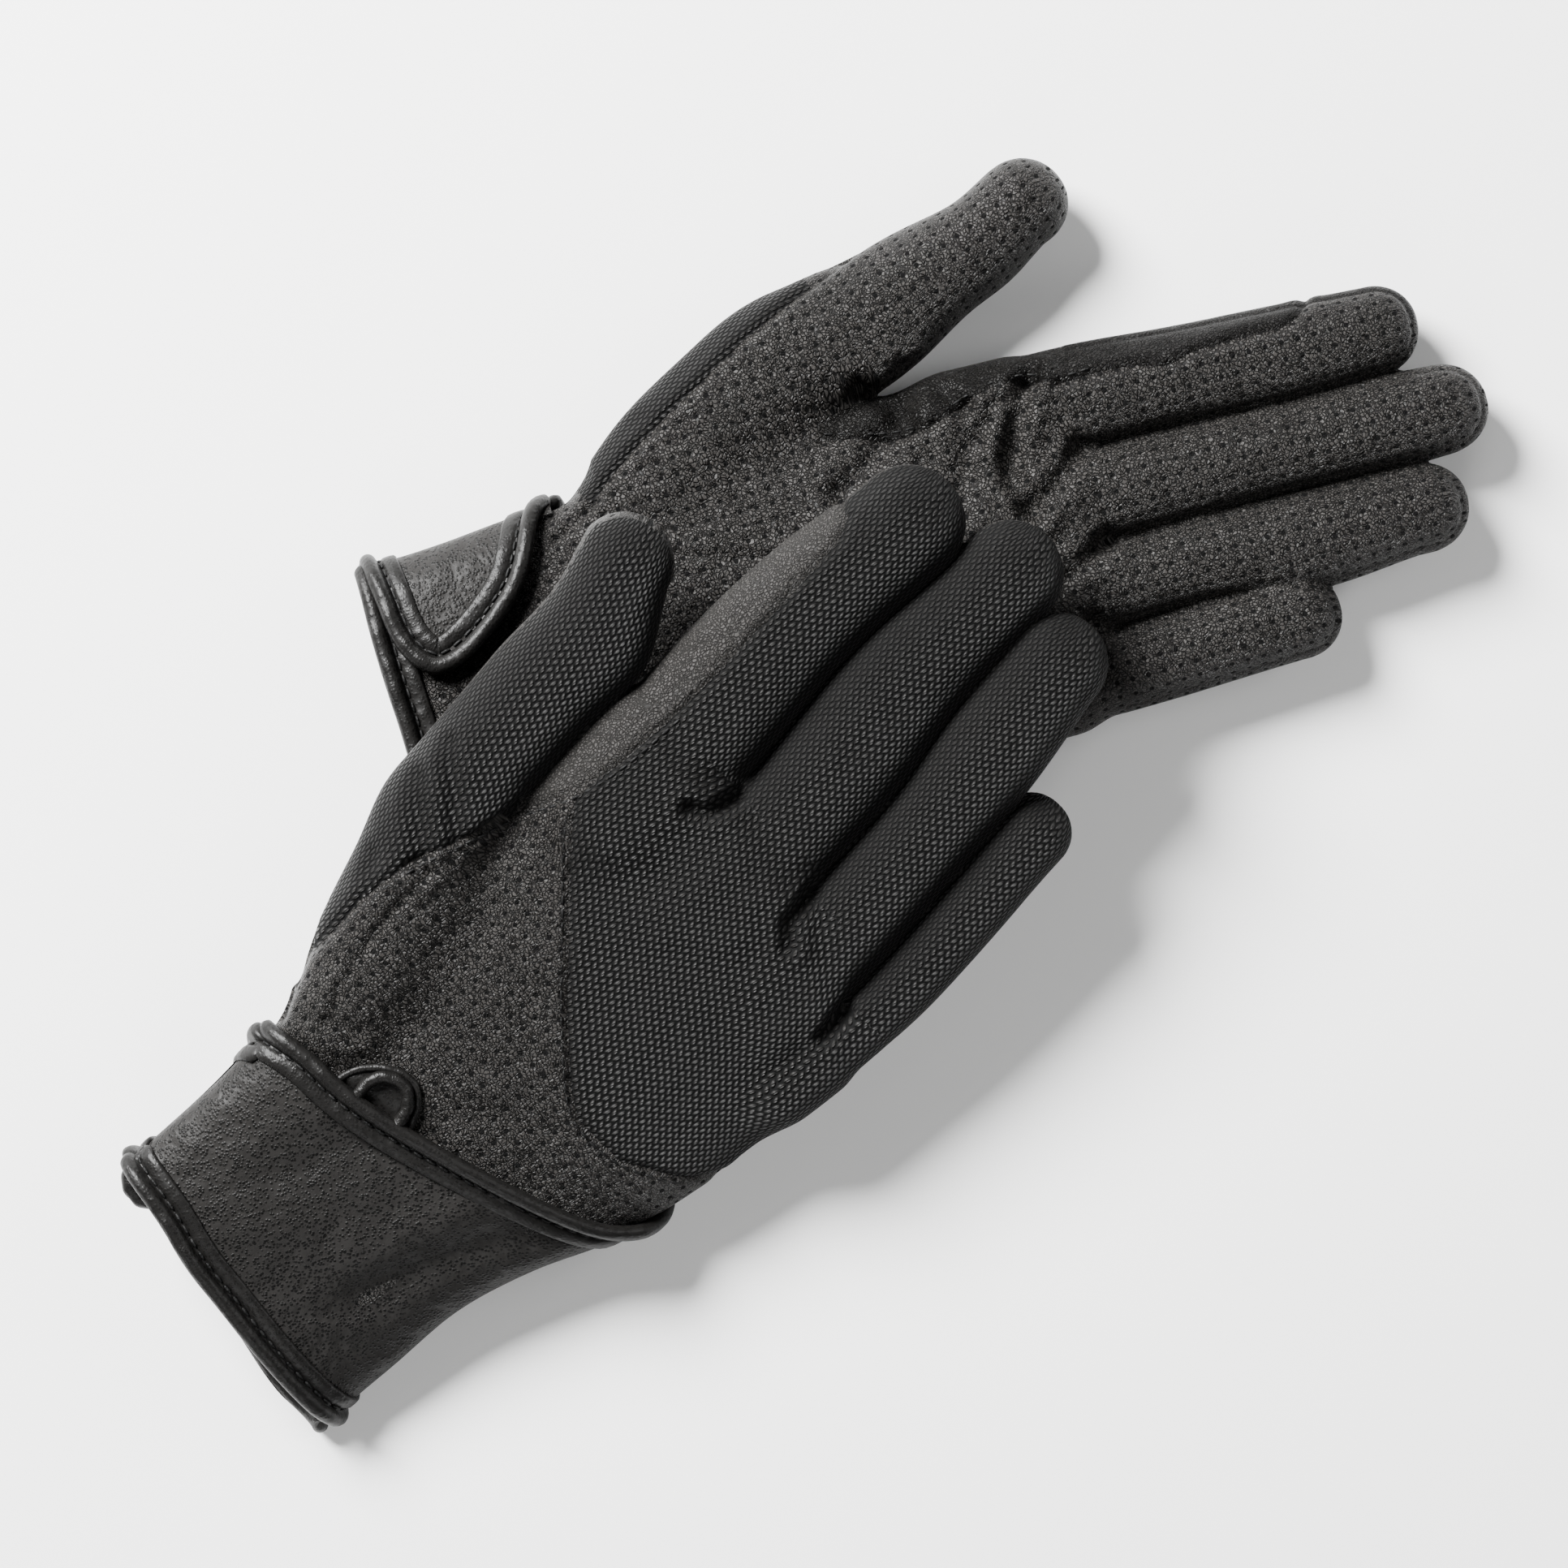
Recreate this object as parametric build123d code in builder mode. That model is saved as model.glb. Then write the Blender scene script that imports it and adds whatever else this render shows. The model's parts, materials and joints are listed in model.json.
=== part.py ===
"""A pair of riding gloves, the right one lying back-up across the palm-up left one.

Each glove is drawn in its own frame: +X from the hem to the fingertips, +Y towards the thumb,
+Z up, with the middle of its thickness at Z = 0. Every panel of the glove is a separate solid.
"""

import os
from dataclasses import dataclass, field
from math import atan2, cos, degrees, hypot, radians, sin, tan

from build123d import *

# ---- materials and trims (mm) ----
SKIN = 1.0  # thickness of the leather and mesh panels
CUFF_SKIN = 1.3  # thickness of the cuff band laid over the wrist
BINDING_RISE = 2.1  # how far the rolled bindings stand out of the panels
BINDING_WIDTH = 7.0  # rolled edge and its flat strip together
PAD_SKIN = 0.7  # one half of the hook-and-loop fastening
FLAP_SKIN = 1.3  # thickness of the closure flap
PATCH_RISE = 0.8  # half-moon patch over the yoke
LOOP_ROD = 1.1  # radius of the rolled leather loops

# ---- clearances (mm) ----
HINGE_GAP = 0.45  # between the hand and a finger at its hinge
LIE_GAP = 0.4  # between layers that lie on each other

# ---- motion (degrees) ----
FINGER_BEND = 50  # how far the left glove's fingers and thumb curl up
FINGER_LIFT = 25  # how far the right glove's fingers and thumb lift

# ---- closure and trims, common to both gloves (mm from the hem) ----
FLAP_LENGTH = 27.0  # along the glove
FLAP_REACH = 30.0  # round the thumb edge and over the palm
FLAP_SETBACK = 2.5  # from the hem to the flap's edge
FLAP_CORNER = 11.0  # radius of the flap's corners
FLAP_FLARE = 6.0  # how much longer the flap is at the thumb edge
STRIP_WIDTH = 11.5  # plain strip along the index side of the hand
THUMB_BALL = 0.55  # where the thumb's base reaches its full width, as a share of its length
HINGE_LAP = 4.0  # the thumb's base runs on this far before it is cut at the hinge
SIDE_SHARE = 0.55  # share of a finger's half height taken by the panels along its sides
PAD_REACH = 0.8  # the pads stop at this share of the wrist's half width
RIM_RISE = 0.7  # the flap's binding above its face
STRIP_HEEL = 14.0  # how far its slanted end runs back along the hand's edge
PATCH_RADIUS = 8.0
PATCH_LOOP_RADIUS = 4.4
HEM_LOOP_RADIUS = 5.0

# ---- how the gloves lie ----
LEFT_HEM = (-79.9, 15.35)  # middle of the left glove's wrist opening
LEFT_HEADING = 15.5  # degrees from +X to the fingertips
LEFT_RISE_ALONG = -0.012  # the knuckles lie lower than the bound cuff
RIGHT_HEM = (-117.2, -99.95)
RIGHT_HEADING = 42.0
RIGHT_RISE_ALONG = 0.135  # slope up towards the fingertips
RIGHT_RISE_ACROSS = 0.205  # slope up towards the thumb
RIGHT_HEM_ABOVE_LEFT = 2.3  # between the middles of the two wrist openings


@dataclass
class Ray:
    """One finger or thumb: a tapering sleeve with a round tip, hinged at its root."""

    name: str
    root: tuple  # hinge point in the glove's plane
    heading: float  # degrees from the glove's +X
    length: float
    half_width: tuple  # at the root and at the tip
    half_height: tuple
    droop: float = 0.0  # degrees down from the glove's plane


@dataclass
class Glove:
    name: str
    frame: Plane
    back: int  # +1 with the back of the hand up, -1 with the palm up
    bend: float  # degrees that the fingers turn upwards
    hand: list  # sections: distance from the hem, offset, half width, half height
    thenar: tuple  # start of the thumb's base in the glove's plane
    thenar_half: tuple  # its half width and half height
    yoke_seam: list  # seam between yoke and back panel
    cuff_edge: list  # control points of the cuff's diagonal top edge
    hem: tuple  # the cuff's hem: its place on the centre line, its slope towards the thumb
    palm_hem: tuple  # the same for the palm's hem
    patch: tuple  # centre of the half-moon patch
    loop_side: float  # where the hem loop stands, along the hem
    rays: list = field(default_factory=list)


def lay(hem, height, heading, along=0.0, across=0.0):
    """Frame of a glove whose plane rises along its length and across its width."""
    ahead = Vector(cos(radians(heading)), sin(radians(heading)), along)
    aside = Vector(-sin(radians(heading)), cos(radians(heading)), across)
    return Plane((hem[0], hem[1], height), x_dir=ahead, z_dir=ahead.cross(aside))


LEFT_HALF = 10.6  # half thickness of the left hand part
LEFT_FLAT = 0.3  # how much of the left hem's round binding is pressed flat by the floor
LEFT_HEIGHT = LEFT_HALF + BINDING_RISE - LEFT_FLAT  # middle of the left wrist opening above the floor
RIGHT_HEIGHT = LEFT_HEIGHT + RIGHT_HEM_ABOVE_LEFT  # middle of the right wrist opening above the floor

LEFT = Glove(
    name="left",
    frame=lay(LEFT_HEM, LEFT_HEIGHT, LEFT_HEADING, LEFT_RISE_ALONG),
    back=-1,
    bend=FINGER_BEND,
    hand=[
        (-14, -0.6, 35.4, LEFT_HALF),
        (25, -0.2, 36.4, LEFT_HALF),
        (55, 1.0, 39.4, LEFT_HALF),
        (90, 1.0, 40.2, LEFT_HALF),
        (125, 2.0, 41.0, LEFT_HALF),
        (156, 1.6, 40.6, LEFT_HALF),
    ],
    thenar=(38, 28),
    thenar_half=(9.0, 8.0),
    yoke_seam=[(121, 31), (78, -14), (76, -38), (92, -60)],
    cuff_edge=[(38, 60), (42, 10), (57, -34), (82, -62)],
    hem=(-6.0, -0.035),
    palm_hem=(-6.8, -0.02),
    patch=(46.5, 9.5),
    loop_side=24.0,
    rays=[
        Ray("index", (149.0, 30.9), -3.0, 77.6, (10.5, 9.6), (9.8, 9.0)),
        Ray("middle", (150.0, 8.9), -1.0, 86.0, (9.8, 9.4), (9.8, 9.0)),
        Ray("ring", (147.0, -10.5), -1.8, 79.6, (8.9, 9.4), (9.6, 8.8)),
        Ray("little", (142.0, -29.6), -0.6, 52.2, (8.7, 8.4), (9.2, 8.4)),
        Ray("thumb", (107.0, 57.4), 21.4, 55.0, (13.6, 10.4), (9.8, 9.2)),
    ],
)

RIGHT = Glove(
    name="right",
    frame=lay(RIGHT_HEM, RIGHT_HEIGHT, RIGHT_HEADING, RIGHT_RISE_ALONG, RIGHT_RISE_ACROSS),
    back=1,
    bend=FINGER_LIFT,
    hand=[
        (-24, -0.8, 34.4, 9.2),
        (25, -1.3, 34.8, 9.4),
        (55, -4.6, 41.0, 10.0),
        (90, -8.0, 44.6, 10.4),
        (125, -8.6, 46.4, 10.2),
        (156, -7.0, 46.0, 9.8),
    ],
    thenar=(40, 27),
    thenar_half=(9.0, 8.0),
    yoke_seam=[(121, 30), (76, -17), (73, -36), (90, -62)],
    cuff_edge=[(38, 60), (42, 10), (57, -40), (80, -72)],
    hem=(-9.0, 0.17),
    palm_hem=(-10.0, 0.23),
    patch=(46.5, 9.5),
    loop_side=29,
    rays=[
        Ray("index", (146.0, 23.4), 0.3, 75.8, (14.0, 11.8), (8.8, 8.2), 5.0),
        Ray("middle", (146.5, -5.6), 4.6, 83.0, (12.3, 10.6), (8.8, 8.2), 4.5),
        Ray("ring", (143.0, -30.2), 7.0, 80.5, (10.6, 10.1), (8.6, 8.0), 3.0),
        Ray("little", (132.0, -49.6), 5.2, 60.5, (7.5, 7.9), (8.2, 7.6), 4.0),
        Ray("thumb", (105.0, 48.6), 9.0, 66.5, (11.6, 10.2), (9.2, 8.6), 0.0),
    ],
)

ROOM_ASIDE = {"index": 3.0, "middle": 1.2, "ring": 1.2, "little": 1.2, "thumb": 6.0}  # beside each root
TIP_ANGLES = (22, 42, 60, 74, 85)  # stations that round a fingertip
REACH = 400.0  # longer than anything that a trimming block has to clear
WIDE = 90.0  # past both edges of a hand
TALL = 30.0  # past the top and bottom of a hand
EVERYWHERE = [(-REACH, -REACH), (REACH, -REACH), (REACH, REACH), (-REACH, REACH)]


# ---- sleeves ----
def cross_plane(frame, along, aside):
    """Plane across a sleeve, with its X to the thumb side and its Y up."""
    origin = frame.from_local_coords(Vector(along, aside, 0))
    return Plane(origin, x_dir=frame.y_dir, z_dir=frame.x_dir)


def sleeve(frame, stations, grow=0.0, straight=False):
    """Closed form lofted through flattened round sections, grown outwards by grow."""
    with BuildPart() as form:
        for along, aside, half_width, half_height in stations:
            with BuildSketch(cross_plane(frame, along, aside)):
                Ellipse(half_width + grow, half_height + grow)
        loft(ruled=straight)
    return form.part


def ray_frame(glove, ray):
    """Frame at a finger's hinge: +X to the fingertip, +Y along the hinge axis."""
    turned = glove.frame.location * Location((ray.root[0], ray.root[1], 0), (0, 0, ray.heading))
    return Plane(turned * Location((0, 0, 0), (0, ray.droop, 0)))


def ray_stations(ray, inset=0.0):
    """Sections from the hinge to a round tip, with every wall moved in by inset."""
    width_root, width_tip = (w - inset for w in ray.half_width)
    height_root, height_tip = (h - inset for h in ray.half_height)
    round_start = ray.length - inset - width_tip
    stations = [(0, 0, width_root, height_root), (round_start, 0, width_tip, height_tip)]
    for angle in TIP_ANGLES:
        shrink = cos(radians(angle))
        along = round_start + width_tip * sin(radians(angle))
        stations.append((along, 0, width_tip * shrink, height_tip * shrink))
    return stations


def hinge_side(frame, half_width, start, lean):
    """Block ahead of a hinge. Above the axis its near face leans ahead by an angle, or back where it is negative."""
    top = start + tan(radians(lean)) * TALL
    with BuildPart() as block:
        with BuildSketch(Plane(frame.origin, x_dir=frame.x_dir, z_dir=-frame.y_dir)):
            Polygon((start, -TALL), (start, 0), (top, TALL), (REACH, TALL), (REACH, -TALL), align=None)
        extrude(amount=half_width, both=True)
    return block.part


# ---- panels ----
def panel(skin, frame, outline, low, high, away=()):
    """The part of a skin inside an outline in plan, between two heights."""
    with BuildPart() as piece:
        add(skin)
        with BuildSketch(frame.offset(low)):
            Polygon(*outline, align=None)
        extrude(amount=high - low, mode=Mode.INTERSECT)
        for solid in away:
            add(solid, mode=Mode.SUBTRACT)
    return piece


def half_heights(side):
    """Lowest and highest level of the upper or the lower half of a glove."""
    return (0, REACH) if side > 0 else (-REACH, 0)


def shell(outer, inner):
    """Skin between two closed forms."""
    with BuildPart() as skin:
        add(outer)
        add(inner, mode=Mode.SUBTRACT)
    return skin.part


def joined(*solids):
    """Several closed forms as one."""
    with BuildPart() as whole:
        for solid in solids:
            add(solid)
    return whole.part


def save(piece, name):
    """Label a finished piece and write it as its own node."""
    piece.part.label = name
    export_step(piece.part, f"parts/{name}.step")
    print(f"{name:24s} solids {len(piece.part.solids()):2d} volume {piece.part.volume:9.1f}")


def bezier_points(control, count=14):
    """Evenly stepped points on a Bezier edge, for an outline that follows it."""
    curve = Bezier(*control, mode=Mode.PRIVATE)
    return [(p.X, p.Y) for p in (curve @ (i / count) for i in range(count + 1))]


def shifted(points, distance):
    """The same edge moved along the glove."""
    return [(x + distance, y) for x, y in points]


# ---- the hand part of a glove ----
def make_hand(glove):
    frame = glove.frame
    body = sleeve(frame, glove.hand)
    cavity = sleeve(frame, glove.hand, -SKIN)
    thumb = next(ray for ray in glove.rays if ray.name == "thumb")
    root_half = thumb.half_width[0]

    # the thumb's base leaves the hand as a tapering sleeve
    start = glove.thenar
    length = hypot(thumb.root[0] - start[0], thumb.root[1] - start[1])
    heading = degrees(atan2(thumb.root[1] - start[1], thumb.root[0] - start[0]))
    base_frame = Plane(frame.location * Location((start[0], start[1], 0), (0, 0, heading)))
    wide, tall = glove.thenar_half
    base_stations = [
        (0, 0, wide, tall),
        (length * THUMB_BALL, 0, root_half, thumb.half_height[0]),
        (length + HINGE_LAP, 0, root_half, thumb.half_height[0]),
    ]
    base = sleeve(base_frame, base_stations)
    base_cavity = sleeve(base_frame, base_stations, -SKIN)

    # room for every finger and the thumb to turn
    room = []
    for ray in glove.rays:
        width = ray.half_width[0] + ROOM_ASIDE[ray.name]
        room.append(hinge_side(ray_frame(glove, ray), width, -HINGE_GAP, -glove.bend / 2))
    thumb_room = room.pop()

    hand_skin = shell(body, joined(cavity, base_cavity))
    base_skin = shell(base, joined(base_cavity, body, thumb_room))

    seam = glove.yoke_seam
    far = REACH / 2
    back_low, back_high = half_heights(glove.back)
    palm_low, palm_high = half_heights(-glove.back)
    strip_line = glove.hand[4][1] + glove.hand[4][2] - STRIP_WIDTH
    strip_start = seam[0][0]

    # yoke between the hem and the seam, back panel beyond it
    strip_heel = (strip_start - STRIP_HEEL, WIDE)
    strip_toe = (strip_start, strip_line)
    yoke_outline = [*reversed(hem_edge(glove.hem)), strip_heel, strip_toe, *seam[1:], (seam[-1][0], -WIDE)]
    back_outline = [(seam[-1][0], -WIDE), *reversed(seam[1:]), strip_toe, (far, strip_line), (far, -WIDE)]
    strip_outline = [strip_heel, strip_toe, (far, strip_line), (far, WIDE)]
    palm_outline = [*reversed(hem_edge(glove.palm_hem)), strip_heel, strip_toe, (far, strip_line), (far, -WIDE)]

    save(panel(hand_skin, frame, yoke_outline, back_low, back_high, room), f"{glove.name}_yoke")
    save(panel(hand_skin, frame, back_outline, back_low, back_high, room), f"{glove.name}_back_panel")
    save(panel(hand_skin, frame, palm_outline, palm_low, palm_high, room), f"{glove.name}_palm_panel")
    save(panel(hand_skin, frame, strip_outline, -REACH, REACH, room), f"{glove.name}_side_strip")
    beyond_cuff = [*shifted(cuff_edge(glove), LIE_GAP), (far, -WIDE), (far, 2 * WIDE), (0, 2 * WIDE)]
    save(panel(base_skin, frame, beyond_cuff, -REACH, REACH), f"{glove.name}_thumb_gusset")


# ---- the cuff, its bindings and its trims ----
def cuff_edge(glove):
    return bezier_points(glove.cuff_edge)


def hem_edge(hem, distance=0.0):
    """Straight hem from the thumb side to the little finger's side."""
    place, slope = hem
    return [(place + slope * y + distance, y) for y in (WIDE, -WIDE)]


def make_cuff(glove):
    frame = glove.frame
    body = sleeve(frame, glove.hand)
    low, high = half_heights(glove.back)
    palm_low, palm_high = half_heights(-glove.back)
    band_form = sleeve(frame, glove.hand, CUFF_SKIN)
    binding_form = sleeve(frame, glove.hand, BINDING_RISE)
    floor_trim = [floor_block()] if glove.name == "left" else []

    top = cuff_edge(glove)
    under_top = shifted(top, -BINDING_WIDTH)
    hem = hem_edge(glove.hem)
    over_hem = hem_edge(glove.hem, BINDING_WIDTH)

    band = panel(shell(band_form, body), frame, [*over_hem, *reversed(under_top)], low, high, floor_trim)
    save(band, f"{glove.name}_cuff_band")
    edge = panel(shell(binding_form, body), frame, [*under_top, *reversed(top)], low, high, floor_trim)
    save(edge, f"{glove.name}_cuff_binding")

    # the palm's hem binding stops where the closure flap crosses it
    stop = flap_line(glove) - LIE_GAP
    place, slope = glove.palm_hem
    palm_side = [(place + slope * y, y) for y in (stop, -WIDE)]
    palm_over = shifted(palm_side, BINDING_WIDTH)
    with BuildPart() as hem_binding:
        add(panel(shell(binding_form, body), frame, [*hem, *reversed(over_hem)], low, high, floor_trim).part)
        add(panel(shell(binding_form, body), frame, [*palm_side, *reversed(palm_over)], palm_low, palm_high).part)
    save(hem_binding, f"{glove.name}_hem_binding")

    # half-moon patch above the cuff, with its rolled loop
    patch_form = sleeve(frame, glove.hand, PATCH_RISE)
    centre = glove.patch
    disc = [
        (centre[0] + PATCH_RADIUS * cos(radians(a)), centre[1] + PATCH_RADIUS * sin(radians(a)))
        for a in range(0, 360, 20)
    ]
    trims = [joined(band.part, edge.part), *floor_trim]
    patch = panel(shell(patch_form, body), frame, disc, low, high, trims)
    with BuildPart() as half_moon:
        add(patch.part.solids().sort_by(SortBy.VOLUME)[-1])
    save(half_moon, f"{glove.name}_half_moon_patch")

    # the loop lies on the patch, or is pressed into it where the glove lies on the floor
    room_below = frame.origin.Z if glove.name == "left" else REACH
    level = min(glove.hand[2][3] + PATCH_RISE + LOOP_ROD, room_below - LOOP_ROD)
    middle = Vector(centre[0] - PATCH_LOOP_RADIUS / 2, centre[1], glove.back * level)
    loop = rolled_loop(frame, middle, PATCH_LOOP_RADIUS, 1, [edge.part, half_moon.part, body, *floor_trim])
    save(loop, f"{glove.name}_patch_loop")

    hem_middle = Vector(glove.hem[0] + glove.hem[1] * glove.loop_side, glove.loop_side, glove.back * LOOP_ROD)
    save(rolled_loop(frame, hem_middle, HEM_LOOP_RADIUS, -1, []), f"{glove.name}_hem_loop")


def rolled_loop(frame, middle, radius, facing, away):
    """Half ring of rolled leather standing out along the glove."""
    origin = frame.from_local_coords(middle)
    with BuildPart() as loop:
        with BuildLine(Plane(origin, x_dir=frame.x_dir, z_dir=frame.z_dir)):
            ThreePointArc((0, radius), (facing * radius, 0), (0, -radius))
        with BuildSketch(Plane(origin + frame.y_dir * radius, x_dir=frame.y_dir, z_dir=frame.x_dir)):
            Circle(LOOP_ROD)
        sweep()
        for solid in away:
            add(solid, mode=Mode.SUBTRACT)
    return loop


def floor_block():
    """Everything below the floor."""
    with BuildPart() as block:
        Box(3 * REACH, 3 * REACH, REACH, align=(Align.CENTER, Align.CENTER, Align.MAX))
    return block.part


# ---- the closure ----
def flap_line(glove):
    """How far round the palm the closure flap reaches, from the glove's centre line."""
    return glove.hand[1][1] + glove.hand[1][2] - FLAP_REACH


def flap_outline(glove, inset=0.0):
    """Rounded tab that comes round the thumb edge onto the palm."""
    place, slope = glove.hem
    near = flap_line(glove) + inset
    start = place + slope * near + FLAP_SETBACK + inset
    end = start + FLAP_LENGTH - 2 * inset
    corner = FLAP_CORNER - inset
    points = [(start + slope * (WIDE - near), WIDE)]
    for turn in range(180, 271, 18):
        points.append((start + corner + corner * cos(radians(turn)), near + corner + corner * sin(radians(turn))))
    for turn in range(270, 361, 18):
        points.append((end - corner + corner * cos(radians(turn)), near + corner + corner * sin(radians(turn))))
    points.append((end + slope * (WIDE - near) + FLAP_FLARE, WIDE))
    return points


def make_closure(glove):
    frame = glove.frame
    body = sleeve(frame, glove.hand)
    low, high = half_heights(-glove.back)
    # the flap's root edge stays a hinge gap off the cuff band
    low, high = (low, high - HINGE_GAP) if glove.back > 0 else (low + HINGE_GAP, high)
    loop_top = PAD_SKIN
    hook_bottom = loop_top + LIE_GAP
    hook_top = hook_bottom + PAD_SKIN
    flap_top = hook_top + FLAP_SKIN
    pad_outline = [(x, min(y, glove.hand[1][2] * PAD_REACH)) for x, y in flap_outline(glove, BINDING_WIDTH + 1.0)]

    lower_pad = shell(sleeve(frame, glove.hand, loop_top), body)
    save(panel(lower_pad, frame, pad_outline, low, high), f"{glove.name}_loop_pad")
    upper_pad = shell(sleeve(frame, glove.hand, hook_top), sleeve(frame, glove.hand, hook_bottom))
    save(panel(upper_pad, frame, pad_outline, low, high), f"{glove.name}_hook_pad")

    skin = shell(sleeve(frame, glove.hand, flap_top), sleeve(frame, glove.hand, hook_top))
    face = panel(skin, frame, flap_outline(glove, BINDING_WIDTH), low, high)
    save(face, f"{glove.name}_closure_flap")
    rim_outer = sleeve(frame, glove.hand, flap_top + RIM_RISE)
    rim_skin = shell(rim_outer, sleeve(frame, glove.hand, hook_top))
    with BuildPart() as rim:
        add(panel(rim_skin, frame, flap_outline(glove), low, high).part)
        add(panel(rim_outer, frame, flap_outline(glove, BINDING_WIDTH), low, high).part, mode=Mode.SUBTRACT)
    save(rim, f"{glove.name}_flap_binding")


# ---- fingers and thumb ----
def make_ray(glove, ray):
    frame = ray_frame(glove, ray)
    outside = sleeve(frame, ray_stations(ray), straight=True)
    skin = shell(outside, sleeve(frame, ray_stations(ray, SKIN), straight=True))
    keep = hinge_side(frame, WIDE, 0, glove.bend / 2)
    with BuildPart() as turned:
        add(skin)
        add(keep, mode=Mode.INTERSECT)
        if ray.name == "thumb":
            add(sleeve(glove.frame, glove.hand, LIE_GAP), mode=Mode.SUBTRACT)
    skin = turned.part

    back = glove.back
    half = ray.half_height[1] * SIDE_SHARE  # height where the back and palm strips meet the sides
    thumb_side = [(-REACH, 0), (REACH, 0), (REACH, REACH), (-REACH, REACH)]
    far_side = [(-REACH, -REACH), (REACH, -REACH), (REACH, 0), (-REACH, 0)]
    name = f"{glove.name}_{ray.name}"
    if ray.name == "thumb":
        half = 0.0
    upper, lower = ("back", "palm") if back > 0 else ("palm", "back")
    save(panel(skin, frame, EVERYWHERE, half, REACH), f"{name}_{upper}")
    save(panel(skin, frame, EVERYWHERE, -REACH, -half), f"{name}_{lower}")
    if ray.name == "index":
        save(panel(skin, frame, thumb_side, -half, half), f"{name}_side_strip")
        save(panel(skin, frame, far_side, -half, half), f"{name}_fourchette")
    elif ray.name != "thumb":
        with BuildPart() as sides:
            add(panel(skin, frame, thumb_side, -half, half).part)
            add(panel(skin, frame, far_side, -half, half).part)
        save(sides, f"{name}_fourchettes")


def main():
    os.makedirs("parts", exist_ok=True)
    for glove in (LEFT, RIGHT):
        make_hand(glove)
        make_cuff(glove)
        make_closure(glove)
        for ray in glove.rays:
            make_ray(glove, ray)


main()
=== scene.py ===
"""A pair of riding gloves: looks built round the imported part.

Each glove is shaped in its own flat frame in millimetres: u runs from the hem to the fingertips,
v towards the thumb, z up, with the middle of the glove's thickness at z = 0.
"""

import json
from math import cos, pi, radians, sin

import bpy
import numpy as np
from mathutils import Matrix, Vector


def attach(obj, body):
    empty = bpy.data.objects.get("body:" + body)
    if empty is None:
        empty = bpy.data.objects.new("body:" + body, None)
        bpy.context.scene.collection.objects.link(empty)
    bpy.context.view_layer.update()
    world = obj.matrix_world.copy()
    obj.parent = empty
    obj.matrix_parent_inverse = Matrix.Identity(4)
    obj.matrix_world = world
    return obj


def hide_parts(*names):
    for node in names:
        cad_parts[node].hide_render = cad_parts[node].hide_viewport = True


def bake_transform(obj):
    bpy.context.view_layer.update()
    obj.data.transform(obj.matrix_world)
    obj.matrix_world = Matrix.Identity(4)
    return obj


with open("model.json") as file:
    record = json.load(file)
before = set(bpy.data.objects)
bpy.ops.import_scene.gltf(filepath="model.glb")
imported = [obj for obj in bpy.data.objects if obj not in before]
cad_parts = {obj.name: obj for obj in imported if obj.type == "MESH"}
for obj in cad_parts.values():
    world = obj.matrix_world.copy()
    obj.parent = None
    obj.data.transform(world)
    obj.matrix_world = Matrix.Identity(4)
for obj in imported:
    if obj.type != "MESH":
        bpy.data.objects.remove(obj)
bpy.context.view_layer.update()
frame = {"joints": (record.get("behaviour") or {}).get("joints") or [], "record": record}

MM = 0.001
CELL = 0.9  # spacing of the grid that the skins are drawn from
SQUARE = 2.3  # squareness of the hand's and fingers' sections
SEAM_DEPTH = 0.55
BACK_LEVEL, PALM_LEVEL = -0.6, -4.8  # heights of a finger's side seams, towards the back
THUMB_FROM = 48.0  # the thumb's base swells out of the hand from here on
FINGERS = ("index", "middle", "ring", "little")

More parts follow.
